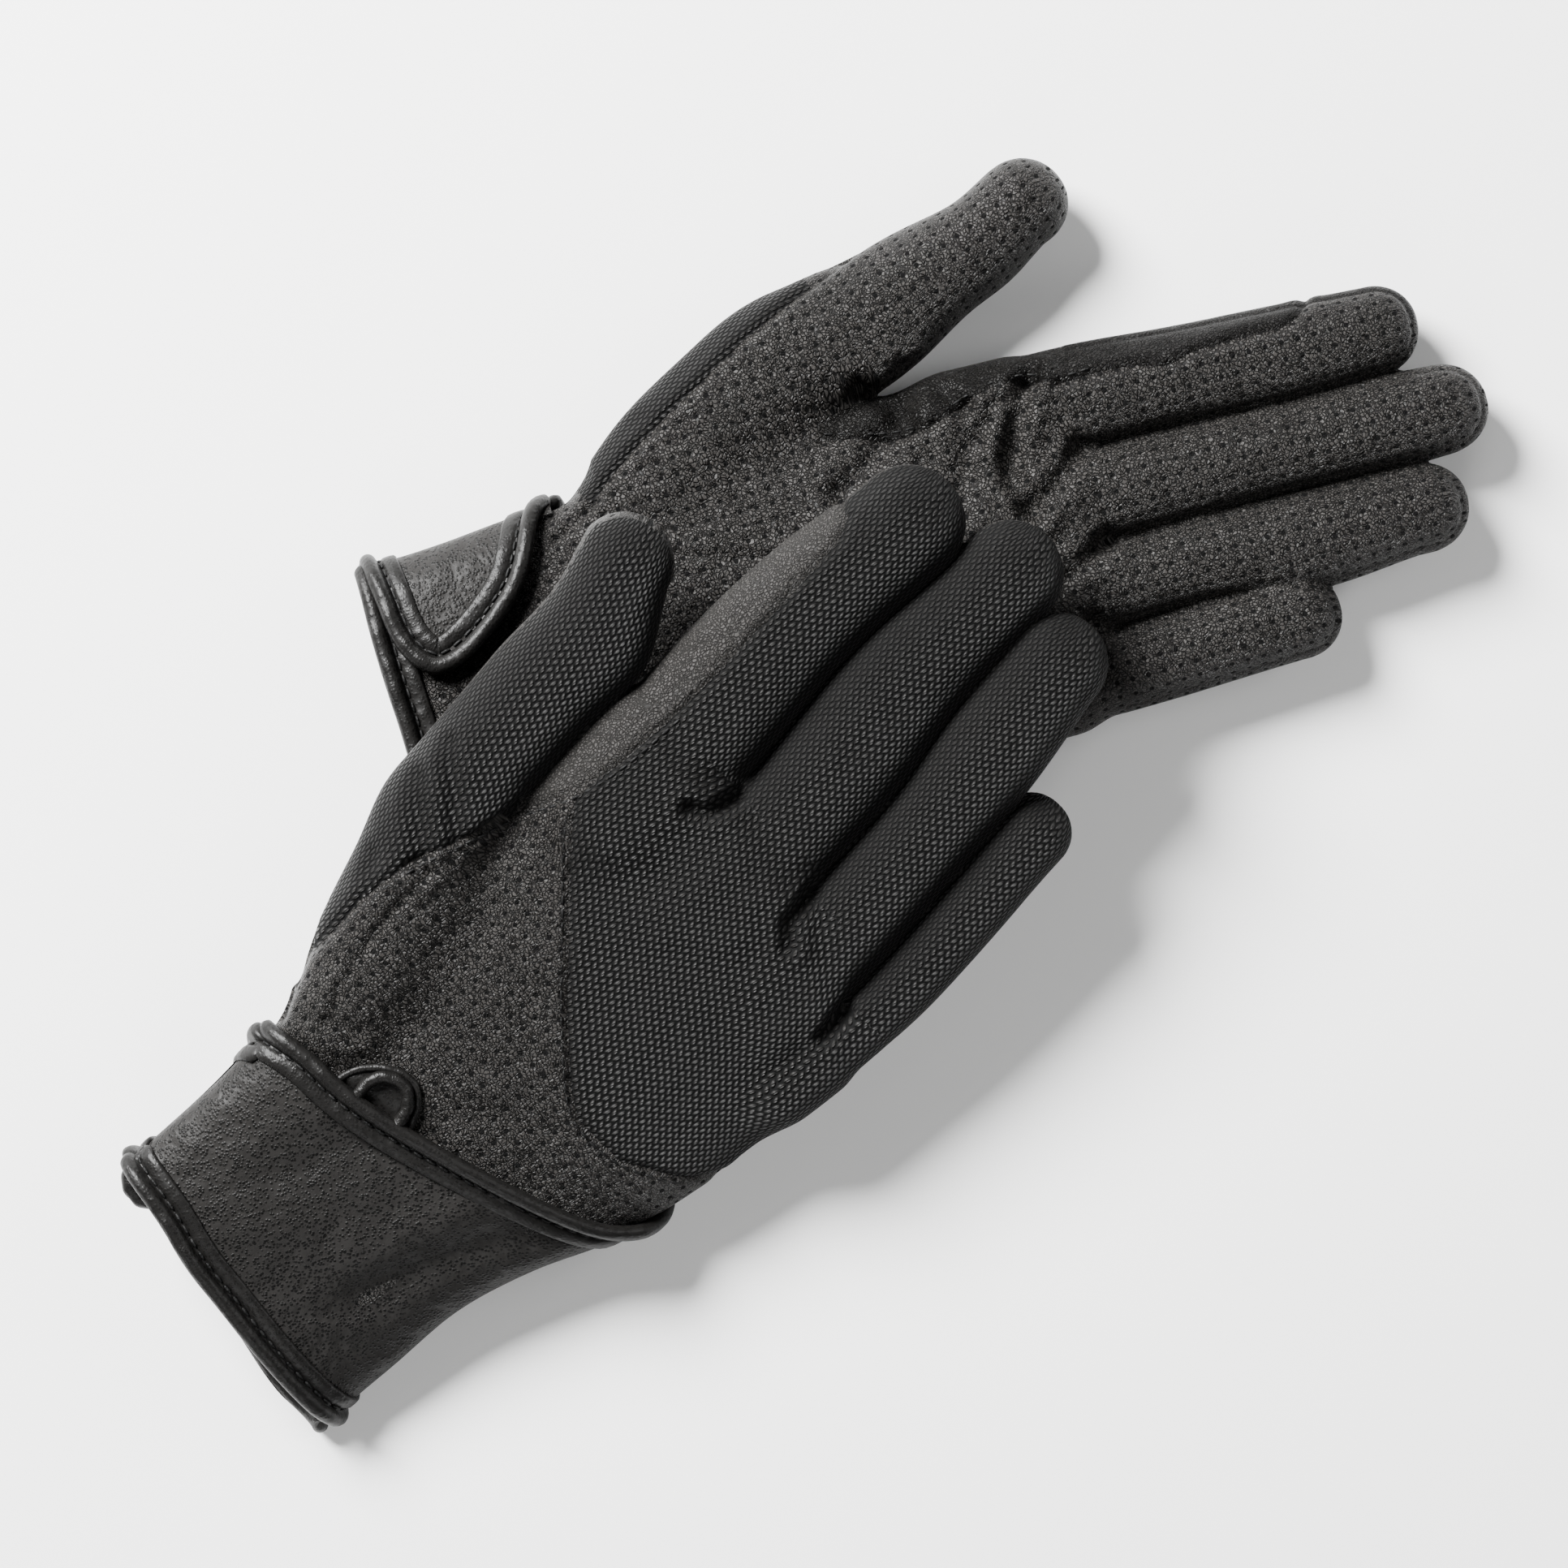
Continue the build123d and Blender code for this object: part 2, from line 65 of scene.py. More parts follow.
# ---- shapes of the two gloves (mm, in the glove's own frame) ----
# hand sections: distance from the hem, offset, half width, half height
# finger sections: distance from the root, offset from its line, half width, half height
SHAPE = {
    "left": {
        "hem_start": -6.0,
        "hand": [
            (-20, -0.6, 35.0, 10.2),
            (5, -0.5, 35.2, 10.2),
            (25, -0.2, 36.2, 10.2),
            (45, 0.0, 37.6, 10.2),
            (60, 0.4, 38.8, 10.2),
            (90, 0.6, 39.6, 10.2),
            (125, 1.4, 40.2, 9.8),
            (160, 1.0, 39.0, 9.0),
        ],
        "front": [(-60, 126), (-38, 134), (-16.7, 136), (-0.6, 143), (19.3, 143), (42, 138), (60, 138)],
        "droop": {"index": 0.0, "middle": 0.0, "ring": 0.0, "little": 0.0, "thumb": 0.0},
        "fingers": {
            "index": [
                (-30, 0, 10, 8.4), (0, -0.5, 11.2, 9.4), (20, -0.6, 10.8, 9.2), (48, -0.9, 10.4, 9.0),
                (67, -0.4, 9.6, 8.6)
            ],
            "middle": [
                (-30, 0, 9.4, 8.4), (0, 0, 10.2, 9.4), (23, -0.2, 10.0, 9.2), (43, -0.3, 9.5, 9.0),
                (69, -0.6, 10.0, 9.0), (78, -0.7, 9.6, 8.6)
            ],
            "ring": [
                (-30, 0, 9.0, 8.2), (0, 0.4, 9.2, 9.0), (21, 0.7, 9.2, 9.0), (47, -0.6, 10.6, 9.0),
                (67, 0.3, 9.6, 8.6)
            ],
            "little": [(-30, 0, 8.6, 8.2), (0, 0.9, 8.8, 8.6), (22, 1.6, 9.2, 8.8), (42, 2.5, 9.2, 8.4)],
            "thumb": [
                (-70, 0, 6.5, 6.0), (-50, 1, 12, 8.6), (-30, 2, 14, 9.8), (-10, 1.2, 15, 10.2),
                (0, -0.8, 14.5, 10.2), (9, -1.8, 13.5, 10.0), (25, -2, 11.3, 9.4), (36, -2.8, 10.2, 9.2),
                (46, -1.5, 9.8, 9.0)
            ],
        },
        "length": {"index": 77.6, "middle": 86.2, "ring": 79.6, "little": 52.2, "thumb": 57.2},
    },
    "right": {
        "hem_start": -9.0,
        "hand": [
            (-25, -0.8, 34.0, 9.0),
            (5, -1.0, 34.4, 9.0),
            (25, -1.3, 34.8, 9.2),
            (42, -2.6, 37.8, 9.5),
            (60, -5.4, 42.0, 9.8),
            (76, -7.2, 44.4, 10.2),
            (95, -8.2, 45.2, 10.2),
            (125, -8.8, 46.6, 10.0),
            (160, -8.0, 45.0, 9.0),
        ],
        "front": [(-70, 112), (-56, 118), (-43.1, 124), (-19.4, 136), (6, 138.5), (40, 140), (60, 140)],
        "droop": {"index": 5.0, "middle": 4.5, "ring": 3.0, "little": 4.0, "thumb": 3.0},
        "fingers": {
            "index": [
                (-30, -2, 12.5, 8.6), (7, -0.9, 14.6, 9.0), (28, 1.0, 13.8, 8.8), (44, 1.0, 12.9, 8.6),
                (60, -0.7, 12.0, 8.2)
            ],
            "middle": [
                (-30, 0, 11.6, 8.4), (4, -0.8, 12.8, 9.0), (24, 0.3, 13.4, 8.8), (44, 1.7, 12.2, 8.6),
                (64, 0.5, 11.2, 8.4), (74, 0.3, 11.2, 8.0)
            ],
            "ring": [
                (-30, 0, 10.4, 8.4), (7, -0.3, 10.9, 8.8), (27, -0.5, 10.7, 8.6), (47, 0.4, 11.5, 8.4),
                (62, 1.2, 11.0, 8.2), (70, 1.5, 10.6, 8.0)
            ],
            "little": [
                (-30, 4, 6.0, 7.6), (-10, 1.6, 6.8, 8.0), (8, 0.2, 7.6, 8.2), (28, 0.4, 7.8, 8.0),
                (48, 1.0, 8.2, 7.8)
            ],
            "thumb": [
                (-70, -11, 6.5, 6.0), (-60, -11, 9, 7.6), (-40, -8, 12, 9.2), (-25, -5.6, 13, 9.8),
                (-10, -2.5, 13.2, 10.0), (0, -2, 12.5, 10.0), (25, -3, 12.4, 9.4), (44, -4.2, 12.4, 9.2),
                (54, -1.2, 11.0, 8.8), (58, 0, 10.4, 8.6)
            ],
        },
        "length": {"index": 75.8, "middle": 83.0, "ring": 81.0, "little": 61.0, "thumb": 67.2},
    },
}

# seams in plan
YOKE_SEAM = [
    (120.8, 29.6), (111, 20.7), (101.6, 10.6), (89, -2.3), (77.4, -15.8), (73.9, -22), (74, -34.7),
    (81, -47.9), (92, -58), (96, -80)
]
STRIP_SEAM_BACK = [
    (98, 39.5), (106, 36.2), (120.8, 31), (132, 28.8), (150.5, 28.3), (183, 30.1), (197, 31.5), (202.5, 34),
    (205, 38)
]
STRIP_SEAM_PALM = [
    (96.5, 35.7), (104.3, 33.6), (111.2, 31.6), (118.7, 31.7), (127.1, 34.7), (134.4, 36.8), (142.5, 36.3),
    (147.6, 33.5), (157, 33.9), (164.7, 33.2), (171.4, 31), (177.9, 32.8), (189.8, 33), (197.7, 32.6),
    (201.3, 34.1), (204.9, 38)
]
GUSSET_SEAM = [(112, 36), (101, 38.2), (87, 43.4), (73.4, 44.5), (56.2, 42.6), (42, 36)]
GUSSET_SEAM_PALM = [
    (36, 30), (45, 34.8), (50, 39.4), (63, 47.8), (75, 54.4), (86, 60.4), (98, 65.9), (109, 70.4),
    (125, 78), (150, 92)
]
CUFF_EDGE = {
    "right": [
        (36.5, 45), (39.5, 38), (42.4, 31), (43.6, 26.3), (44.1, 16.3), (47.3, 1.6), (51.9, -14.3),
        (57, -30.7), (61.4, -41.8), (66.5, -47.8), (73, -52.5), (78, -58)
    ],
    "left": [
        (38, 48), (40, 38), (42, 30), (43, 22), (45, 10), (48, 0), (52, -14), (57, -28), (62, -40),
        (66, -48), (70, -56)
    ],
}


def polyline_distance(points, line):
    """Distance in plan from points to an open line."""
    best = np.full(len(points), 1e9)
    for a, b in zip(line[:-1], line[1:]):
        a, b = np.array(a, float), np.array(b, float)
        ab = b - a
        t = np.clip(((points - a) @ ab) / (ab @ ab), 0, 1)
        best = np.minimum(best, np.hypot(*(points - a - t[:, None] * ab).T))
    return best


def side_of(points, outline):
    """Distance in plan to a closed outline, positive inside it."""
    inside = np.zeros(len(points), bool)
    ring = outline + outline[:1]
    for (ax, ay), (bx, by) in zip(ring[:-1], ring[1:]):
        if ay == by:
            continue
        crosses = (points[:, 1] > min(ay, by)) & (points[:, 1] <= max(ay, by))
        at = ax + (points[:, 1] - ay) * (bx - ax) / (by - ay)
        inside ^= crosses & (points[:, 0] < at)
    return np.where(inside, 1, -1) * polyline_distance(points, ring)


def smooth_curve(points, count=400):
    """Dense table through stations, smooth at each of them."""
    points = np.array(points, float)
    x, y = points[:, 0], points[:, 1:]
    slope = np.gradient(y, x, axis=0)
    at = np.linspace(x[0], x[-1], count)
    k = np.clip(np.searchsorted(x, at, side="right") - 1, 0, len(x) - 2)
    h = (x[k + 1] - x[k])[:, None]
    t = ((at - x[k]) / (x[k + 1] - x[k]))[:, None]
    value = (
        (1 + 2 * t) * (1 - t) ** 2 * y[k]
        + t * (1 - t) ** 2 * h * slope[k]
        + t**2 * (3 - 2 * t) * y[k + 1]
        + t**2 * (t - 1) * h * slope[k + 1]
    )
    return at, value


def smooth_min(a, b, k):
    """Union of two distances with a fillet of size k."""
    h = np.clip(0.5 + 0.5 * (b - a) / k, 0, 1)
    return b * (1 - h) + a * h - k * h * (1 - h)


def fade(x, start, end):
    """Smooth step from 0 at start to 1 at end."""
    t = np.clip((x - start) / (end - start), 0, 1)
    return t * t * (3 - 2 * t)


class Glove:
    """Frame and forms of one glove."""

    def __init__(self, name):
        self.name = name
        self.shape = SHAPE[name]
        joints = {j["name"]: j for j in frame["joints"]}
        opening = next(m for m in frame["record"]["mounts"] if m["name"] == f"{name}_wrist_opening")
        self.ahead = -Vector(opening["axis"]).normalized()
        hinge = -Vector(joints[f"{name}_middle_bend"]["axis"])
        self.up = self.ahead.cross(hinge).normalized()
        self.aside = self.up.cross(self.ahead)
        self.origin = Vector(opening["pos_m"]) - self.ahead * self.shape["hem_start"] * MM
        self.back = 1 if name == "right" else -1
        self.axes = np.array([self.ahead, self.aside, self.up])
        self.roots, self.headings = {}, {}
        for finger in FINGERS + ("thumb",):
            joint = joints[f"{name}_{finger}_bend"]
            away = Vector(joint["pos_m"]) - self.origin
            self.roots[finger] = (away.dot(self.ahead) / MM, away.dot(self.aside) / MM)
            turn = -Vector(joint["axis"])
            self.headings[finger] = np.arctan2(-turn.dot(self.ahead), turn.dot(self.aside))
        self.tables = {f: smooth_curve(s) for f, s in self.shape["fingers"].items()}
        self.hand_table = smooth_curve(self.shape["hand"])

    def place(self, points):
        """Points of the glove's frame, in mm, as points of the row frame in metres."""
        placed = np.array(self.origin) + (np.asarray(points, float) * MM) @ self.axes
        placed[:, 2] = np.maximum(placed[:, 2], 0.0002)  # the floor presses soft pieces flat
        return placed

    def finger_local(self, points, finger):
        """Distance along a finger, across it and above it."""
        du = points[:, 0] - self.roots[finger][0]
        dv = points[:, 1] - self.roots[finger][1]
        turn, droop = self.headings[finger], radians(self.shape["droop"][finger])
        along = du * cos(turn) + dv * sin(turn)
        across = -du * sin(turn) + dv * cos(turn)
        z = points[:, 2]
        return along * cos(droop) - z * sin(droop), across, along * sin(droop) + z * cos(droop)

    def sleeve(self, along, across, z, table, end, tip):
        """Distance to a flattened round sleeve with a round tip."""
        at, rows = table
        offset, half, tall = (np.interp(along, at, rows[:, i]) for i in range(3))
        y, w = np.abs(across - offset) / half, np.abs(z) / tall
        n = SQUARE
        a = (y**n + w**n) ** (1 / n) + 1e-9
        b = np.maximum(np.maximum(along - (end - tip), at[0] + 6 - along), 0) / tip
        f = np.sqrt(a * a + b * b) + 1e-9
        slope = np.hypot((y / a) ** (n - 1) / half, (w / a) ** (n - 1) / tall) * a / f
        slope = np.hypot(slope, b / f / tip)
        return (f - 1) / np.maximum(slope, 0.3 / half)

    def owners(self, points):
        """Distance to each finger and to the hand."""
        found = {}
        for finger in FINGERS + ("thumb",):
            local = self.finger_local(points, finger)
            rows = self.tables[finger][1]
            found[finger] = self.sleeve(
                *local, self.tables[finger], self.shape["length"][finger], rows[-1, 1]
            )
        found["thumb"] = found["thumb"] + 0.7 * np.maximum(THUMB_FROM - points[:, 0], 0)
        front = np.interp(points[:, 1], *np.array(self.shape["front"], float).T)
        pushed = points[:, 0] - front
        along = np.minimum(points[:, 0], 150)
        at, rows = self.hand_table
        hand = self.sleeve(along, points[:, 1], points[:, 2], (at, rows), 400, 10)
        ahead = np.maximum(pushed, 0) / 10
        found["hand"] = hand + np.where(pushed > 0, 10 * (np.sqrt(1 + ahead**2) - 1) * 1.6 + ahead**2 * 3, 0)
        return found

    def form(self, points):
        """Distance to the whole glove."""
        found = self.owners(points)
        fingers = found["index"]
        for finger in FINGERS[1:]:
            fingers = smooth_min(fingers, found[finger], 1.2)
        whole = smooth_min(fingers, found["hand"], 5.0)
        along = self.finger_local(points, "thumb")[0]
        near = 8.0 - 7.0 * fade(along, -24, 8)
        return smooth_min(whole, found["thumb"], near)

    def slope(self, points, step=0.15):
        """Outward direction of the form."""
        rows = []
        for axis in np.eye(3) * step:
            rows.append(self.form(points + axis) - self.form(points - axis))
        normal = np.stack(rows, 1)
        steep = np.linalg.norm(normal, axis=1)
        return normal / np.maximum(steep, 1e-9)[:, None], steep / (2 * step)

    def height(self, plan, side):
        """Height of the form's upper (side 1) or lower (side -1) face at points in plan."""
        plan = np.asarray(plan, float)
        low, high = np.zeros(len(plan)), np.full(len(plan), 22.0)
        for _ in range(16):
            middle = (low + high) / 2
            outside = self.form(np.column_stack([plan, side * middle])) > 0
            low, high = np.where(outside, low, middle), np.where(outside, middle, high)
        return side * (low + high) / 2


# ---- drawing a skin from its distance ----
CORNERS = [(i, j, k) for i in (0, 1) for j in (0, 1) for k in (0, 1)]


def surface_net(values, low):
    """Vertices and quads where a grid of distances changes sign."""
    inside = values < 0
    count = np.zeros(tuple(n - 1 for n in values.shape), np.int8)
    for i, j, k in CORNERS:
        count += inside[i : count.shape[0] + i, j : count.shape[1] + j, k : count.shape[2] + k]
    cells = np.argwhere((count > 0) & (count < 8))
    corner = {c: values[tuple((cells + c).T)] for c in CORNERS}
    total, hits = np.zeros(cells.shape), np.zeros(len(cells))
    for a in CORNERS:
        for axis in range(3):
            if a[axis]:
                continue
            b = tuple(1 if n == axis else a[n] for n in range(3))
            crosses = (corner[a] < 0) != (corner[b] < 0)
            t = corner[a] / np.where(crosses, corner[a] - corner[b], 1)
            point = np.tile(np.array(a, float), (len(cells), 1))
            point[:, axis] = t
            total += np.where(crosses[:, None], point, 0)
            hits += crosses
    verts = low + CELL * (cells + total / hits[:, None])
    number = np.full(count.shape, -1)
    number[tuple(cells.T)] = np.arange(len(cells))
    quads = []
    for axis in range(3):
        shift = [0, 0, 0]
        shift[axis] = 1
        size = [n - s for n, s in zip(values.shape, shift)]
        here = inside[: size[0], : size[1], : size[2]]
        there = inside[shift[0] :, shift[1] :, shift[2] :]
        edges = np.argwhere(here != there)
        b, c = [(1, 2), (2, 0), (0, 1)][axis]
        above = (edges[:, b] > 0) & (edges[:, c] > 0)
        below = (edges[:, b] < count.shape[b]) & (edges[:, c] < count.shape[c])
        edges = edges[above & below]
        step_b, step_c = np.eye(3, dtype=int)[b], np.eye(3, dtype=int)[c]
        ring = [edges - step_b - step_c, edges - step_c, edges, edges - step_b]
        quad = np.stack([number[tuple(r.T)] for r in ring], 1)
        flip = ~here[tuple(edges.T)]
        quad[flip] = quad[flip][:, ::-1]
        quads.append(quad)
    quads = np.concatenate(quads)
    return verts, quads[(quads >= 0).all(1)]


def cut(verts, tris, field):
    """Split triangles where a field of the points changes sign."""
    value = field(verts)
    value = np.where(np.abs(value) < 0.03, 0.03, value)
    sign = value > 0
    mixed = sign[tris].any(1) & ~sign[tris].all(1)
    if not mixed.any():
        return verts, tris
    part = tris[mixed]
    s = sign[part]
    lone = np.where(s.sum(1) == 1, s.argmax(1), (~s).argmax(1))
    rows = np.arange(len(part))
    a, b, c = part[rows, lone], part[rows, (lone + 1) % 3], part[rows, (lone + 2) % 3]
    pairs = np.sort(np.concatenate([np.stack([a, b], 1), np.stack([a, c], 1)]), 1)
    unique, back = np.unique(pairs, axis=0, return_inverse=True)
    back = back.reshape(-1)
    t = value[unique[:, 0]] / (value[unique[:, 0]] - value[unique[:, 1]])
    added = verts[unique[:, 0]] + t[:, None] * (verts[unique[:, 1]] - verts[unique[:, 0]])
    p, q = back[: len(part)] + len(verts), back[len(part) :] + len(verts)
    new = np.concatenate([np.stack([a, p, q], 1), np.stack([p, b, c], 1), np.stack([p, c, q], 1)])
    return np.concatenate([verts, added]), np.concatenate([tris[~mixed], new])


def mesh_object(name, verts, faces, normals=None, sheet=None, smooth=True):
    """Mesh object from arrays, in metres, with its laid-out cloth coordinates."""
    mesh = bpy.data.meshes.new(name)
    mesh.from_pydata([], [], [])
    faces = np.asarray(faces)
    mesh.vertices.add(len(verts))
    mesh.vertices.foreach_set("co", np.asarray(verts, np.float32).ravel())
    sides = faces.shape[1]
    mesh.loops.add(faces.size)
    mesh.loops.foreach_set("vertex_index", faces.ravel().astype(np.int32))
    mesh.polygons.add(len(faces))
    mesh.polygons.foreach_set("loop_start", np.arange(0, faces.size, sides, dtype=np.int32))
    mesh.update(calc_edges=True)
    mesh.polygons.foreach_set("use_smooth", np.full(len(faces), smooth))
    if sheet is not None:
        layer = mesh.uv_layers.new(name="Sheet")
        layer.data.foreach_set("uv", (np.asarray(sheet)[faces.ravel()] * MM).astype(np.float32).ravel())
    mesh.validate(clean_customdata=False)
    if normals is not None:
        mesh.normals_split_custom_set_from_vertices(np.asarray(normals, float).tolist())
    shown = bpy.data.objects.new(name, mesh)
    bpy.context.scene.collection.objects.link(shown)
    return shown


# ---- finishes ----
def new_group(name, inputs, outputs):
    """Empty shader group with named sockets."""
    group = bpy.data.node_groups.new(name, "ShaderNodeTree")
    for kind, label, default in inputs:
        socket = group.interface.new_socket(label, in_out="INPUT", socket_type=kind)
        if default is not None:
            socket.default_value = default
    for kind, label in outputs:
        group.interface.new_socket(label, in_out="OUTPUT", socket_type=kind)
    return group, group.nodes.new("NodeGroupInput"), group.nodes.new("NodeGroupOutput")


def connect(tree, socket, value):
    """Feed a socket from another socket or a plain value."""
    if isinstance(value, bpy.types.NodeSocket):
        tree.links.new(value, socket)
    else:
        socket.default_value = value


def math_node(tree, operation, a, b=0.0, c=0.0):
    node = tree.nodes.new("ShaderNodeMath")
    node.operation = operation
    for socket, value in zip(node.inputs, (a, b, c)):
        connect(tree, socket, value)
    return node.outputs[0]


def ramp(tree, value, low, high, start=0.0, end=1.0):
    node = tree.nodes.new("ShaderNodeMapRange")
    node.interpolation_type = "SMOOTHSTEP"
    for socket, number in zip(node.inputs, (value, low, high, start, end)):
        connect(tree, socket, number)
    return node.outputs[0]


def texture(tree, kind, vector, scale, output=0, **settings):
    node = tree.nodes.new(kind)
    for key, number in settings.items():
        if hasattr(node, key):
            setattr(node, key, number)
        else:
            node.inputs[key.replace("_", " ")].default_value = number
    connect(tree, node.inputs["Vector"], vector)
    connect(tree, node.inputs["Scale"], scale)
    return node.outputs[output]


def grain_group():
    """Leather grain: small wavy ridges with creases between them, as a height, and a ridge mask that the
    leathers use as painted highlight on the ridges and painted shade in the creases. Vector in metres.
    """
    group, given, out = new_group(
        "leather_grain",
        [("NodeSocketVector", "Vector", None), ("NodeSocketFloat", "Ridges per metre", 1350.0)],
        [("NodeSocketFloat", "Height"), ("NodeSocketFloat", "Ridge")],
    )
    vector, scale = given.outputs[0], given.outputs[1]
    warp = group.nodes.new("ShaderNodeTexNoise")
    warp.inputs["Scale"].default_value = 520.0
    warp.inputs["Detail"].default_value = 2.0
    group.links.new(vector, warp.inputs["Vector"])
    offset = group.nodes.new("ShaderNodeVectorMath")
    offset.operation = "MULTIPLY_ADD"
    group.links.new(warp.outputs["Color"], offset.inputs[0])
    offset.inputs[1].default_value = (0.0014, 0.0014, 0.0)
    group.links.new(vector, offset.inputs[2])
    cells = texture(group, "ShaderNodeTexVoronoi", offset.outputs[0], scale, feature="DISTANCE_TO_EDGE")
    ridge = ramp(group, cells, 0.0, 0.22)
    fine = texture(group, "ShaderNodeTexNoise", vector, 4200.0, Detail=2.0)
    height = math_node(group, "MULTIPLY_ADD", fine, 0.35, ridge)
    group.links.new(height, out.inputs[0])
    group.links.new(ridge, out.inputs[1])
    return group


def holes_group():
    """Punched holes on a square grid. Vector in metres."""
    group, given, out = new_group(
        "punched_holes",
        [
            ("NodeSocketVector", "Vector", None),
            ("NodeSocketFloat", "Pitch", 0.00355),
            ("NodeSocketFloat", "Radius", 0.00056),
        ],
        [("NodeSocketFloat", "Hole"), ("NodeSocketFloat", "Dish")],
    )
    vector, pitch, radius = given.outputs[:3]
    parts = group.nodes.new("ShaderNodeSeparateXYZ")
    wander = group.nodes.new("ShaderNodeTexNoise")
    wander.inputs["Scale"].default_value = 28.0
    group.links.new(vector, wander.inputs["Vector"])
    bent = group.nodes.new("ShaderNodeVectorMath")
    bent.operation = "MULTIPLY_ADD"
    group.links.new(wander.outputs["Color"], bent.inputs[0])
    bent.inputs[1].default_value = (0.0016, 0.0016, 0.0)
    group.links.new(vector, bent.inputs[2])
    group.links.new(bent.outputs[0], parts.inputs[0])
    offsets = []
    for axis in (0, 1):
        share = math_node(group, "DIVIDE", parts.outputs[axis], pitch)
        near = math_node(group, "SUBTRACT", math_node(group, "FRACT", share), 0.5)
        offsets.append(math_node(group, "MULTIPLY", near, pitch))
    square = [math_node(group, "MULTIPLY", o, o) for o in offsets]
    away = math_node(group, "SQRT", math_node(group, "ADD", *square))
    hole = ramp(group, math_node(group, "DIVIDE", away, radius), 0.85, 1.1, 1.0, 0.0)
    dish = ramp(group, math_node(group, "DIVIDE", away, radius), 0.8, 2.4)
    group.links.new(hole, out.inputs[0])
    group.links.new(dish, out.inputs[1])
    return group


def weave_group():
    """Air mesh: rows of short slanted yarns over dark gaps. Vector in metres."""
    group, given, out = new_group(
        "air_mesh",
        [("NodeSocketVector", "Vector", None), ("NodeSocketFloat", "Pitch", 0.0019)],
        [("NodeSocketFloat", "Height"), ("NodeSocketFloat", "Yarn")],
    )
    vector, pitch = given.outputs[:2]
    parts = group.nodes.new("ShaderNodeSeparateXYZ")
    group.links.new(vector, parts.inputs[0])
    along = math_node(group, "DIVIDE", parts.outputs[0], pitch)
    across = math_node(group, "DIVIDE", parts.outputs[1], math_node(group, "MULTIPLY", pitch, 0.62))
    row = math_node(group, "FLOOR", across)
    odd = math_node(group, "MODULO", math_node(group, "ABSOLUTE", row), 2.0)
    along = math_node(group, "MULTIPLY_ADD", odd, 0.5, along)
    in_row = math_node(group, "SUBTRACT", math_node(group, "FRACT", across), 0.5)
    slant = math_node(group, "MULTIPLY_ADD", in_row, math_node(group, "MULTIPLY_ADD", odd, 0.9, -0.45), along)
    in_cell = math_node(group, "SUBTRACT", math_node(group, "FRACT", slant), 0.5)
    long_part = math_node(
        group, "POWER", math_node(group, "DIVIDE", math_node(group, "ABSOLUTE", in_cell), 0.46), 2.0
    )
    wide_part = math_node(
        group, "POWER", math_node(group, "DIVIDE", math_node(group, "ABSOLUTE", in_row), 0.44), 2.0
    )
    bump = ramp(group, math_node(group, "ADD", long_part, wide_part), 0.1, 1.1, 1.0, 0.0)
    strand = math_node(
        group, "SINE",
        math_node(
            group, "MULTIPLY", math_node(group, "ADD", in_row, math_node(group, "MULTIPLY", in_cell, 0.35)),
            20.0
        )
    )
    height = math_node(group, "MULTIPLY_ADD", math_node(group, "MULTIPLY", strand, bump), 0.16, bump)
    group.links.new(height, out.inputs[0])
    group.links.new(bump, out.inputs[1])
    return group


def pore_group():
    """Smooth leather with fine scattered pores. Vector in metres."""
    group, given, out = new_group(
        "fine_pores",
        [("NodeSocketVector", "Vector", None), ("NodeSocketFloat", "Pores per metre", 1400.0)],
        [("NodeSocketFloat", "Height"), ("NodeSocketFloat", "Pore")],
    )
    vector, scale = given.outputs[:2]
    spots = texture(group, "ShaderNodeTexVoronoi", vector, scale, Randomness=0.85)
    pore = ramp(group, spots, 0.2, 0.6, 1.0, 0.0)
    soft = texture(group, "ShaderNodeTexNoise", vector, 900.0, Detail=3.0)
    height = math_node(group, "SUBTRACT", math_node(group, "MULTIPLY", soft, 0.6), pore)
    group.links.new(height, out.inputs[0])
    group.links.new(pore, out.inputs[1])
    return group


def wear_group():
    """Slow changes of tone over a hide: rubbed and dull places. Vector in metres."""
    group, given, out = new_group(
        "rubbed_tone",
        [("NodeSocketVector", "Vector", None), ("NodeSocketFloat", "Scale", 35.0)],
        [("NodeSocketFloat", "Tone"), ("NodeSocketFloat", "Soft height")],
    )
    broad = texture(
        group, "ShaderNodeTexNoise", given.outputs[0], given.outputs[1], Detail=4.0, Roughness=0.6
    )
    group.links.new(ramp(group, broad, 0.35, 0.7), out.inputs[0])
    folds = texture(group, "ShaderNodeTexNoise", given.outputs[0], 160.0, Detail=2.0)
    group.links.new(folds, out.inputs[1])
    return group


GROUPS = {
    "grain": grain_group(),
    "holes": holes_group(),
    "weave": weave_group(),
    "pores": pore_group(),
    "wear": wear_group(),
}


